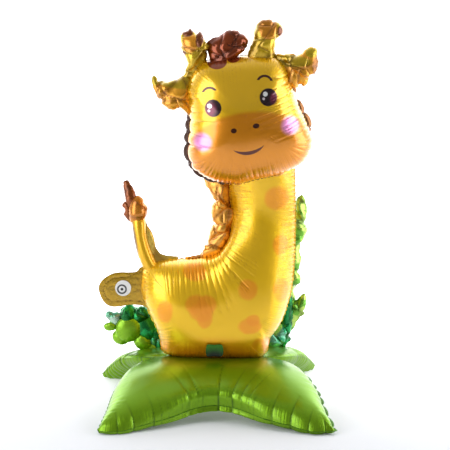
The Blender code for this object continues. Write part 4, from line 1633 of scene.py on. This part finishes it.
    def pillow(self) -> Shell:
        """Lift rings that shrink to the middle, front and back, by the dome.

        The rings' shares are 1 - (k/rings)^1.8, so that they lie close together at the seam.

        Returns:
            The skin.
        """
        edge, middle = self.edge(), np.array(VIEW.spot(self.middle, self.plane))
        shares = 1.0 - (np.arange(self.rings) / self.rings) ** 1.8
        flat = middle + (edge - middle)[None] * shares[:, None, None]
        dome = self.dome(shares)[:, None] * np.ones(self.rays)[None]
        bulges = (-self.front, self.back)
        panels = tuple(
            np.dstack([flat[..., 0], self.plane + bulge * dome, flat[..., 1]]) for bulge in bulges
        )
        poles = tuple(np.array([middle[0], self.plane + bulge, middle[1]]) for bulge in bulges)
        return Shell.from_rays(panels, poles)

    def margin(self, rim: Array) -> Array:
        """Give the weld's width: wide at the left cheek, less under the chin, narrow elsewhere.

        Under the chin its dark film is the painted shadow of the chin on the neck.

        Args:
            rim: The vertices of the weld line.

        Returns:
            The width at each.
        """
        high, low, under = VIEW.place((self.cheek_top, self.cheek_foot, self.chin_top), self.plane)
        cheek = (rim[:, 0] < high[0]) & (rim[:, 2] < high[1]) & (rim[:, 2] > low[1])
        chin = rim[:, 2] < under[1]
        return np.where(cheek, 8.0, np.where(chin, 3.4, 1.2)) * MM

    def edges(self, brown: FoilFinish) -> None:
        """Make the edges of the face's back panel, darker than the panel as painted shade, and the two small
        lobes under the chin.

        Args:
            brown: The dark brown film of painted shade, for the weld margin and the back panel's left edge.
        """
        # Painted shade: a darker gold for the back panel's right edge, turned away from the light
        gold = FoilFinish(
            "back_gold_painted_shade_film", "9A5C08", "3A1A02", crinkle_depth=0.2 * MM, roughness=0.24,
        )
        orange = FoilFinish("chin_orange_film", "E08E14", "8A4A04", crinkle_depth=0.1 * MM)
        rows = (
            ("back_edge_left", self.back_left, 12, 0.5, brown, 20, 0.14, 61),
            ("back_edge_right", self.back_right, 14, 0.6, gold, 26, 0.14, 62),
            ("chin_lobe_left", ellipse(*self.left_chin), -4, 0.6, orange, 12, 0.08, 63),
            ("chin_lobe_right", ellipse(*self.right_chin), -4, 0.6, orange, 12, 0.08, 63),
        )
        for name, outline, shift, full, film, pitch, height, seed in rows:
            Lobe(
                name, outline, self.plane + shift * MM, full, film, "head", "face_foil", crumple=0.0,
                pitch=pitch * MM, height=height, seed=seed,
            ).build()

    def prints(self) -> tuple[Mark, ...]:
        """Lay out what is printed on the face, in the order of printing, the smile last.

        Returns:
            The marks.
        """
        *marks, inside, smile = (
            Mark(name, self.on_face(spot), half, ink, **others)
            for name, spot, half, ink, others in (*self.printed, self.smile_inside, self.smile)
        )
        return (*marks, replace(smile, bite=inside))


@dataclass
class HeadLobes:
    """Ears, horns and forelock, welded on to the face's seam."""

    plane: float = FACE_PLANE
    ear_left: Points = (
        (152, 75.8), (154.6, 76), (157.9, 79.4), (160.8, 81.4), (169.3, 80.4), (178.3, 77.8), (186, 74),
        (194, 80), (193, 100), (191, 117.5), (185, 112.6), (179.5, 108.8), (173.2, 111), (168.1, 109.7),
        (164.2, 105.4), (160.4, 101.4), (156.6, 98.2), (154, 91.8), (151, 86), (150.6, 80),
    )
    ear_right: Points = (
        (272, 58), (276.5, 55.6), (282.2, 56.4), (289.7, 55.8), (296.6, 54.9), (301.7, 53.2),
        (306, 49.6), (311.5, 48), (316, 50), (316.8, 56), (318.8, 62), (318.2, 68), (316, 73.5),
        (311, 77), (309, 81.5), (304, 85.2), (299.4, 84.4), (295.4, 88), (286, 84), (276, 72),
    )
    horn_left: Points = (
        (181, 82), (184.6, 72.6), (188.3, 64), (186.7, 60.2), (183.4, 55.6), (180.6, 52.6), (179.2, 48),
        (180.7, 44), (179.2, 37.6), (181, 32.2), (185.5, 30.4), (190.4, 28), (194, 31.6), (196.6, 33.6),
        (199.4, 31.6), (202.4, 36), (204.4, 42), (210, 50), (206, 66), (196, 76),
    )
    horn_right: Points = (
        (246, 60), (248.8, 48), (252, 40.3), (253.2, 32.4), (255, 25.6), (258.4, 20.8), (264, 18.6),
        (271, 19), (275.4, 22.4), (279, 25.4), (281.7, 30), (280.8, 34.6), (277.8, 38), (276.2, 44),
        (276, 56), (272, 64), (256, 66),
    )
    forelock: Points = (
        (206.6, 47), (208.3, 42.7), (212.6, 38.8), (217.8, 36.4), (221.6, 32.4), (226.4, 29.4),
        (232, 29.2), (239.8, 31.2), (245, 35), (247.6, 40), (248.8, 46), (246, 51.5), (239.4, 55.4),
        (236.6, 60.6), (229, 62.6), (222, 64.8), (213.4, 65), (207.8, 57.5),
    )

    ear_left_lines: tuple = (
        ((158, 81), (166, 95)), ((166, 95), (190, 100)), ((176, 98), (180, 108)), ((165, 95), (160, 101)),
    )
    ear_right_lines: tuple = (
        ((308, 56), (306, 66)), ((284, 62), (304, 68)), ((306, 66), (311, 76)), ((300, 68), (298, 84)),
    )
    horn_left_lines: tuple = (
        ((183, 52), (196, 53)), ((196, 53), (204, 44)), ((182, 36), (193, 34)), ((196, 34), (199, 48)),
    )
    horn_right_lines: tuple = (
        ((255, 38), (277, 38)), ((258, 24), (274, 25)), ((276, 28), (276, 40)), ((260, 46), (268, 50)),
    )
    forelock_lines: tuple = (
        ((222, 33), (219, 47)), ((219, 47), (226, 58)), ((209, 52), (219, 56)), ((228, 44), (242, 48)),
        ((238, 36), (232, 44)), ((244, 42), (248, 52)),
    )
    ear_marks: Sequence[MarkRow] = (
        ("left ear's top", (176, 78), (45, 16), "C0A40E", {"turn": 8, "soft": 0.12, "strength": 0.9}),
        ("left ear's tip", (154, 80), (9, 9), "C0A40E", {"soft": 0.15}),
        ("right ear's top", (288, 60), (40, 10), "C0A40E", {"turn": 4, "soft": 0.12, "strength": 0.9}),
        ("right ear's tip", (311, 52), (10, 8), "C0A40E", {"soft": 0.15}),
        ("right ear's side", (316, 66), (7, 18), "8A4A08", {"soft": 0.2, "strength": 0.8}),
    )
    horn_marks: Sequence[MarkRow] = (
        ("left horn's middle", (190.2, 42.5), (13, 16), "E89A1E", {"soft": 0.12}),
        ("left horn's tip", (187.5, 31.5), (10, 8), "7A3C08", {"soft": 0.15}),
        ("left horn's side", (200, 38), (7, 15), "7A3C08", {"soft": 0.15, "turn": 8}),
        ("left horn's foot", (183, 53), (5, 5), "7A3C08", {"soft": 0.2}),
        ("right horn's middle", (267.7, 28), (16, 18), "E2941A", {"soft": 0.12}),
        ("right horn's side", (280, 31), (5, 9), "7A3C08", {"soft": 0.2}),
    )

    def film(self, name: str, colour: str, deep: str, metallic: float, rows: Sequence[MarkRow]) -> FoilFinish:
        """Give crumpled gold film with its prints.

        Args:
            name: The film's name.
            colour: Its own colour.
            deep: The painted shade that its folds darken to.
            metallic: How much of the metal shows.
            rows: What is printed on it.

        Returns:
            The finish.
        """
        marks = tuple(
            Mark(mark, VIEW.spot(spot, self.plane), half, ink, **others)
            for mark, spot, half, ink, others in rows
        )
        return FoilFinish(name, colour, deep, marks, metallic=metallic, roughness=0.24, coat=0.5)

    def build(self) -> None:
        """Make the five lobes."""
        ears = self.film("ear_gold_film", "F4AA20", "6A3A00", 0.6, self.ear_marks)
        horns = self.film("horn_gold_film", "DEB81C", "6A4200", 0.55, self.horn_marks)
        hair = FoilFinish("hair_brown_film", "9C420C", "2E0A02", roughness=0.18, coat=0.5, metallic=0.6)
        rows = (
            ("ear_left", self.ear_left, ears, self.ear_left_lines, 0.9 * MM, 0.10, 21),
            ("ear_right", self.ear_right, ears, self.ear_right_lines, 0.9 * MM, 0.10, 27),
            ("horn_left", self.horn_left, horns, self.horn_left_lines, 0.9 * MM, 0.10, 33),
            ("horn_right", self.horn_right, horns, self.horn_right_lines, 0.9 * MM, 0.10, 37),
            ("forelock", self.forelock, hair, self.forelock_lines, 2.0 * MM, 0.06, 45),
        )
        for name, outline, film, lines, crumple, height, seed in rows:
            Lobe(
                name, outline, self.plane, 0.72, film, "head", "face_foil", crumple=crumple, tilt=0.16,
                height=height, lines=lines, groove=2.6 * MM, groove_width=2.6 * MM, seed=seed,
            ).build()


@dataclass
class Trimmings:
    """Mane, tail, tuft, film web and inflation tab, all part of the torso's envelope."""

    plane: float = BODY_PLANE
    mane: Points = (
        (206.6, 172), (206.8, 183), (208.8, 191.6), (213.4, 200.4), (211, 207.3), (209.2, 213.9),
        (210.5, 219.8), (214.2, 224.2), (210.5, 231.4), (207.6, 241.3), (206, 247.8), (199.7, 251.7),
        (191.4, 255.4), (184.8, 257.6), (196, 259.6), (210, 257), (220, 252), (227, 243), (232, 232),
        (234, 216), (233.4, 200), (232, 186), (231, 172),
    )
    tail: Points = (
        (140.5, 262), (137, 253), (133.8, 239), (132, 226), (131.6, 218), (138, 215), (144.6, 218),
        (147.2, 236.5), (151, 249.3), (156, 260.5), (163, 274), (156, 282), (147, 276),
    )
    web: Points = (
        (144, 217), (146.4, 222), (151, 234), (158.7, 250.6), (166, 254.6), (178, 256), (176, 262),
        (160, 268), (150, 262), (147, 244),
    )
    leaf: Points = (
        (123, 184), (124.6, 180.6), (128, 179.8), (131.6, 184.4), (135.6, 193), (138, 203), (134, 212),
        (127.6, 208), (124.6, 197),
    )
    bulb: Points = (
        (128.4, 206), (132, 198.6), (137.4, 194.8), (143, 198.4), (144.2, 203.6), (147.4, 208),
        (147.4, 214), (144.8, 219), (143.6, 223), (131.4, 223), (128.6, 216),
    )
    knot: Points = (
        (121.8, 205.4), (126, 201.6), (131, 204), (132, 212), (132, 221), (126.4, 219.4),
        (122.8, 214.6), (124.6, 209.8),
    )
    tab: Points = (
        (150, 268), (141, 267), (136.5, 271.4), (128, 272.2), (120.7, 272.1), (112.6, 273.4),
        (105.4, 277.4), (100.3, 282.4), (98.6, 288), (99.8, 294), (102.8, 300.4), (107.4, 305),
        (112.8, 306.7), (120, 306.4), (130, 304.8), (141, 305.2), (152, 306),
    )

    tail_shade_middle: Pair = (134.4, 238)
    mane_lines: tuple = (
        ((213.6, 200.6), (222, 206)), ((222, 206), (223, 220)), ((213.6, 224), (226, 222)),
        ((217, 186), (216, 198)), ((210, 238), (222, 232)), ((216, 190), (226, 204)),
        ((200, 250), (214, 246)),
    )
    tab_weld: Points = (
        (141, 271.6), (128, 276.4), (113, 278), (105.4, 283), (103.4, 289), (105.4, 296), (112, 301.4),
        (128, 300), (141, 301),
    )

    def films(self) -> dict[str, FoilFinish]:
        """List the trimmings' films.

        Returns:
            Each film under a short name.
        """
        slack = {"crinkle_size": 18 * MM, "crinkle_depth": 0.25 * MM}
        # Painted shade: a dark band down the left side of the tail's tube
        middle = VIEW.spot(self.tail_shade_middle, self.plane)
        band = Mark("painted shade down the tail", middle, (4, 46), "6E4A04", turn=-9, soft=0.4)
        return {
            "mane": FoilFinish("mane_orange_film", "F2AC38", "9A5A10", roughness=0.26),
            "tail": FoilFinish("tail_yellow_film", "F0B80C", "7A4C00", (band,), **slack),
            "web": FoilFinish("web_yellow_film", "E8C850", "A87800", **slack),
            "brown": FoilFinish("tuft_brown_film", "9A4E0C", "4A1C02", roughness=0.26),
            "orange": FoilFinish("tuft_orange_film", "DC8A18", "6A2E02", roughness=0.26),
            "tab": FoilFinish(
                "tab_gold_film", "C2981C", "7A5400", crinkle_size=9 * MM, crinkle_depth=0.9 * MM,
                roughness=0.24, metallic=0.7,
            ),
        }

    def build(self) -> None:
        """Make each trimming."""
        films = self.films()
        mane = {"cell": 30 * MM, "crumple": 1.0 * MM, "tilt": 0.24, "height": 0.08, "lines": self.mane_lines}
        flat = {"crumple": 0.0, "height": 0.0}
        web = {"crumple": 0.4 * MM, "tilt": 0.06, "height": 0.05}
        smooth = {"crumple": 0.4 * MM, "tilt": 0.08, "height": 0.06}
        welded = {
            **flat, "lines": tuple(zip(self.tab_weld[:-1], self.tab_weld[1:])), "groove": 0.4 * MM,
            "groove_width": 1.0 * MM,
        }
        rows = (
            ("mane", self.mane, 0, 0.80, "mane", 51, mane),
            ("tail", self.tail, -2, 0.95, "tail", 52, flat),
            ("tail_web", self.web, 1, 0.16, "web", 53, web),
            ("tuft_leaf", self.leaf, 0, 0.60, "brown", 55, {**smooth, "crumple": 0.3 * MM}),
            ("tuft_knot", self.knot, 2, 0.8, "brown", 56, smooth),
            ("tuft_bulb", self.bulb, -3, 0.8, "orange", 57, smooth),
            ("inflation_tab", self.tab, 0, 0.03, "tab", 58, welded),
        )
        for name, outline, shift, full, film, seed, others in rows:
            Lobe(
                name, outline, self.plane + shift * MM, full, films[film], "body", "yellow_foil",
                seed=seed, **others,
            ).build()


@dataclass
class Plant:
    """The leafy balloon behind the torso, its outlines in pixels."""

    plane: float = PLANT_PLANE
    bush_back: Points = (
        (120, 312), (126, 305.6), (134, 305.4), (141, 307), (150, 306), (160, 322), (166, 340),
        (163, 354), (152, 349), (140, 344), (128, 336), (120, 326),
    )
    bush_upper_left: Points = (
        (107, 315), (111, 311.6), (118, 311), (123, 314), (122, 322), (117, 328), (110, 324),
    )
    bush_right: Points = (
        (150, 318), (156, 324), (161, 334), (163, 350), (156, 350), (151, 342), (149, 330),
    )
    frond: Points = (
        (295, 202), (298, 196), (302.2, 194.7), (306, 200.4), (308.4, 209.3), (306, 217), (302.6, 228),
        (299.6, 237), (302.8, 245), (300.8, 251.4), (302.8, 256.5), (300, 263), (298, 272),
        (298.8, 282), (296.2, 292), (296, 304), (290, 318), (280, 330), (276, 310), (280, 280),
        (284, 250), (287, 220),
    )
    frond_side_leaf: Points = (
        (290, 306), (296, 300), (302.2, 294.8), (305.6, 293.8), (306.6, 300), (305.6, 308), (299, 320),
        (293.3, 330.5), (286, 330), (284, 318),
    )
    frond_low: Points = (
        (286, 292), (291, 296), (294, 306), (293, 322), (290, 334), (286.6, 345), (280, 350),
        (276, 340), (276, 320), (280, 304),
    )
    frond_teal: Points = (
        (268, 330), (276, 324), (284, 318), (288, 330), (284, 344), (274, 352), (266, 352), (264, 342),
    )
    first_seed: int = 70

    def build(self) -> None:
        """Make the bush's leaves, the frond's and the one that joins them."""
        dark = LeafFinish("dark_green_leaf_film", "04722C", blotch="0A9A4A")
        teal = LeafFinish("teal_leaf_film", "7ED2A8", blotch="2AA468")
        # Painted highlight: a paler copy of the teal film for the upper left leaf
        pale = LeafFinish("teal_leaf_film_painted_highlight", "D2F4DC", blotch="86D6AC")
        light = LeafFinish("light_green_leaf_film", "B4D660", blotch="6CAE30")
        lime = FoilFinish("lime_leaf_film", "84B81A", "3E7A10", metallic=0.7, coat=0.3)
        leaves = (
            ("low_leaf", ellipse((215, 338), (78, 12)), 4, 0.7, dark),
            ("bush_back", self.bush_back, 5, 0.55, dark),
            ("bush_top", ellipse((129, 316), (9.5, 11), 8), -6, 0.7, dark),
            ("bush_top_right", ellipse((143, 316), (9, 10), -8), -4, 0.7, dark),
            ("bush_upper_left", self.bush_upper_left, -5, 0.6, pale),
            ("bush_pale", ellipse((110, 326.6), (6.4, 4.4)), -9, 0.6, lime),
            ("bush_lower_left", ellipse((121, 337), (9, 7.6), 20), -6, 0.6, lime),
            ("bush_disc", ellipse((128.4, 329.4), (13, 12.8)), -14, 0.36, lime),
            ("bush_lower", ellipse((143, 342), (10, 8), 30), -9, 0.6, lime),
            ("bush_right", self.bush_right, -8, 0.6, teal),
            ("bush_foot", ellipse((154, 349), (11, 6.4), 25), -6, 0.6, lime),
            ("frond", self.frond, 0, 0.55, light),
            ("frond_side_leaf", self.frond_side_leaf, -4, 0.5, light),
            ("frond_low", self.frond_low, -8, 0.6, dark),
            ("frond_teal", self.frond_teal, -12, 0.6, teal),
        )
        for seed, (name, outline, shift, full, film) in enumerate(leaves, self.first_seed):
            crumple, height = (0.0, 0.05) if film is lime else (0.9 * MM, 0.10)
            Lobe(
                name, outline, self.plane + shift * MM, full, film, "foliage", "leaf_foil",
                crumple=crumple, height=height, seed=seed,
            ).build()


@dataclass
class Fittings:
    """The dark green tab under the torso and the sticker on the inflation tab."""

    plane: float = BODY_PLANE - 64 * MM
    tab: Points = (
        (206.8, 345.2), (214, 344.8), (222.2, 345.2), (222.4, 355.6), (214, 356.4), (206.6, 355.8),
    )
    tab_foot: Pair = (214.5, 357)
    sticker_middle: Pair = (122, 289)
    grey_ink: str = "2E2E32"

    def build(self, sticker: bpy.types.Object) -> None:
        """Make the tab of film, and give the sticker its white with a ring and a dot.

        Args:
            sticker: The frame's own sticker.
        """
        shade = Mark("shade", VIEW.spot(self.tab_foot, self.plane), (22, 13), "041201", soft=0.7)
        film = FoilFinish(
            "tab_green_film", "2C6E04", "0A2A04", (shade,), crinkle_size=10 * MM,
            crinkle_depth=0.3 * MM, metallic=0.4, coat=0.1,
        )
        Lobe(
            "link_tab", self.tab, self.plane, 0.03, film, "base_tab", "dark_green_film", crumple=0.0,
            height=0.0, seed=90, spacing=1.2 * MM,
        ).build()
        middle = VIEW.spot(self.sticker_middle, BODY_PLANE)
        ring = Mark("ring", middle, (7.5, 7.5), self.grey_ink, line=0.22, soft=0.1)
        dot = Mark("dot", middle, (2.6, 2.6), self.grey_ink, soft=0.1)
        label = FoilFinish(
            "white_label_film", "E6E6E8", "E6E6E8", (ring, dot), metallic=0.0, roughness=0.45,
            coat=0.2, streak_depth=0.0, crinkle_depth=0.0,
        )
        sticker.data.materials.clear()
        sticker.data.materials.append(label.make())


@dataclass
class Studio:
    """A pale floor with a painted pool of light, five soft lights and a room that is dim in front."""

    floor_half: float = 30.0
    side_glow: float = 3.2
    top_glow: float = 1.6
    paper_end: float = -1.5
    paper_fade: float = 0.3
    paper_glow: float = 1.8
    rim_glow: float = 2.2
    pool_front: float = 0.45
    pool_edge: float = 0.85
    front_level: float = 0.26
    back_level: float = 0.9
    low_level: float = 1.6
    room_colour: str = "F9FCFF"
    glow_colour: str = "FCFDFF"
    aim: tuple[float, float, float] = (0.0, 0.0, 0.33)

    def build(self) -> None:
        """Make the floor, the lights and the world."""
        half = self.floor_half
        corners = [(-half, -half, 0), (half, -half, 0), (half, half, 0), (-half, half, 0)]
        mesh = bpy.data.meshes.new("floor")
        mesh.from_pydata(corners, [], [(0, 1, 2, 3)])
        floor = bpy.data.objects.new("floor", mesh)
        bpy.context.scene.collection.objects.link(floor)
        mesh.materials.append(self.paper())
        self.light("left_softbox", (-0.92, -0.76, 0.63), (0.80, 1.25), self.side_glow)
        self.light("right_softbox", (1.15, -0.30, 0.63), (0.75, 1.25), self.side_glow)
        self.light("left_rim_softbox", (-1.45, 1.10, 1.20), (0.9, 0.8), self.rim_glow)
        self.light("right_rim_softbox", (1.45, 1.10, 1.20), (0.9, 0.8), self.rim_glow)
        self.light("top_softbox", (0.0, -0.2, 2.4), (1.6, 1.6), self.top_glow, glossy=False)
        bpy.context.scene.world = self.room()
        bpy.context.scene.view_settings.view_transform = "Standard"

    def room(self) -> bpy.types.World:
        """Make the room's light, which grows towards the back and most low down behind the balloon.

        Returns:
            The world.
        """
        world = bpy.data.worlds.new("studio_world")
        world.use_nodes = True
        tree = world.node_tree
        place = add_node(tree, "ShaderNodeTexCoord")
        axes = add_node(tree, "ShaderNodeSeparateXYZ", {0: place.outputs["Generated"]})
        level = add_node(tree, "ShaderNodeMapRange", {
            0: axes.outputs[1], 1: -0.35, 2: 0.45, 3: self.front_level, 4: self.back_level,
        }, interpolation_type="SMOOTHSTEP")
        behind = add_node(tree, "ShaderNodeMapRange", {
            0: axes.outputs[1], 1: 0.3, 2: 0.8, 3: 0.0, 4: self.low_level,
        }, interpolation_type="SMOOTHSTEP")
        low = add_node(tree, "ShaderNodeMapRange", {
            0: axes.outputs[2], 1: 0.60, 2: 0.95, 3: 1.0, 4: 0.0,
        }, interpolation_type="SMOOTHSTEP")
        lift = add_node(tree, "ShaderNodeMath", {
            0: behind.outputs[0], 1: low.outputs[0], 2: level.outputs[0],
        }, operation="MULTIPLY_ADD")
        back = tree.nodes["Background"]
        back.inputs["Color"].default_value = linear(self.room_colour)
        tree.links.new(lift.outputs[0], back.inputs["Strength"])
        return world

    def paper(self) -> bpy.types.Material:
        """Make matt white background paper that glows behind the balloon as painted light, is darker grey in
        front of it as painted shade, and is dark towards the room.

        Returns:
            The material.
        """
        mat = bpy.data.materials.new("white_paper")
        mat.use_nodes = True
        tree = mat.node_tree
        shader = tree.nodes["Principled BSDF"]
        shader.inputs["Roughness"].default_value = 0.9
        shader.inputs["Specular IOR Level"].default_value = 0.1
        place = add_node(tree, "ShaderNodeTexCoord")
        axes = add_node(tree, "ShaderNodeSeparateXYZ", {0: place.outputs["Object"]})
        glow = add_node(tree, "ShaderNodeMapRange", {
            0: axes.outputs[1], 1: self.pool_front - self.pool_edge,
            2: self.pool_front + self.pool_edge, 3: 0.0, 4: self.paper_glow,
        }, interpolation_type="SMOOTHSTEP")
        beyond = add_node(tree, "ShaderNodeMapRange", {
            0: axes.outputs[1], 1: self.paper_end - self.paper_fade,
            2: self.paper_end + self.paper_fade,
        }, interpolation_type="SMOOTHSTEP")
        # Painted shade: the paper is a darker grey where it does not glow
        pale = add_node(tree, "ShaderNodeMix", {
            0: glow.outputs[0], 6: linear("D2D4D8"), 7: linear("F4F4F6"),
        }, data_type="RGBA")
        ground = add_node(tree, "ShaderNodeMix", {
            0: beyond.outputs[0], 6: linear("505254"), 7: pale.outputs[2],
        }, data_type="RGBA")
        tree.links.new(ground.outputs[2], shader.inputs["Base Color"])
        shader.inputs["Emission Color"].default_value = linear(self.glow_colour)
        tree.links.new(glow.outputs[0], shader.inputs["Emission Strength"])
        return mat

    def light(self, name: str, spot: tuple[float, float, float], size: Pair, glow: float,
              glossy: bool = True) -> None:
        """Hang one rectangular soft light.

        Args:
            name: The light's name.
            spot: Where it hangs.
            size: Its width and height.
            glow: How bright its face is.
            glossy: Whether the film mirrors it.
        """
        data = bpy.data.lights.new(name, "AREA")
        data.shape = "RECTANGLE"
        data.size, data.size_y = size
        data.energy = np.pi * size[0] * size[1] * glow
        item = bpy.data.objects.new(name, data)
        item.location = spot
        item.rotation_euler = (Vector(self.aim) - Vector(spot)).to_track_quat("-Z", "Y").to_euler()
        item.visible_glossy = glossy
        bpy.context.scene.collection.objects.link(item)


def main() -> None:
    """Build the classes in order."""
    logging.basicConfig(level=logging.INFO, format="%(message)s")
    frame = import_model()
    VIEW.make_camera()
    Studio().build()
    Cushion().build()
    Torso().build()
    Head().build()
    HeadLobes().build()
    Trimmings().build()
    Plant().build()
    Fittings().build(frame["nodes"]["valve_sticker"])


if __name__ == "__main__":
    main()
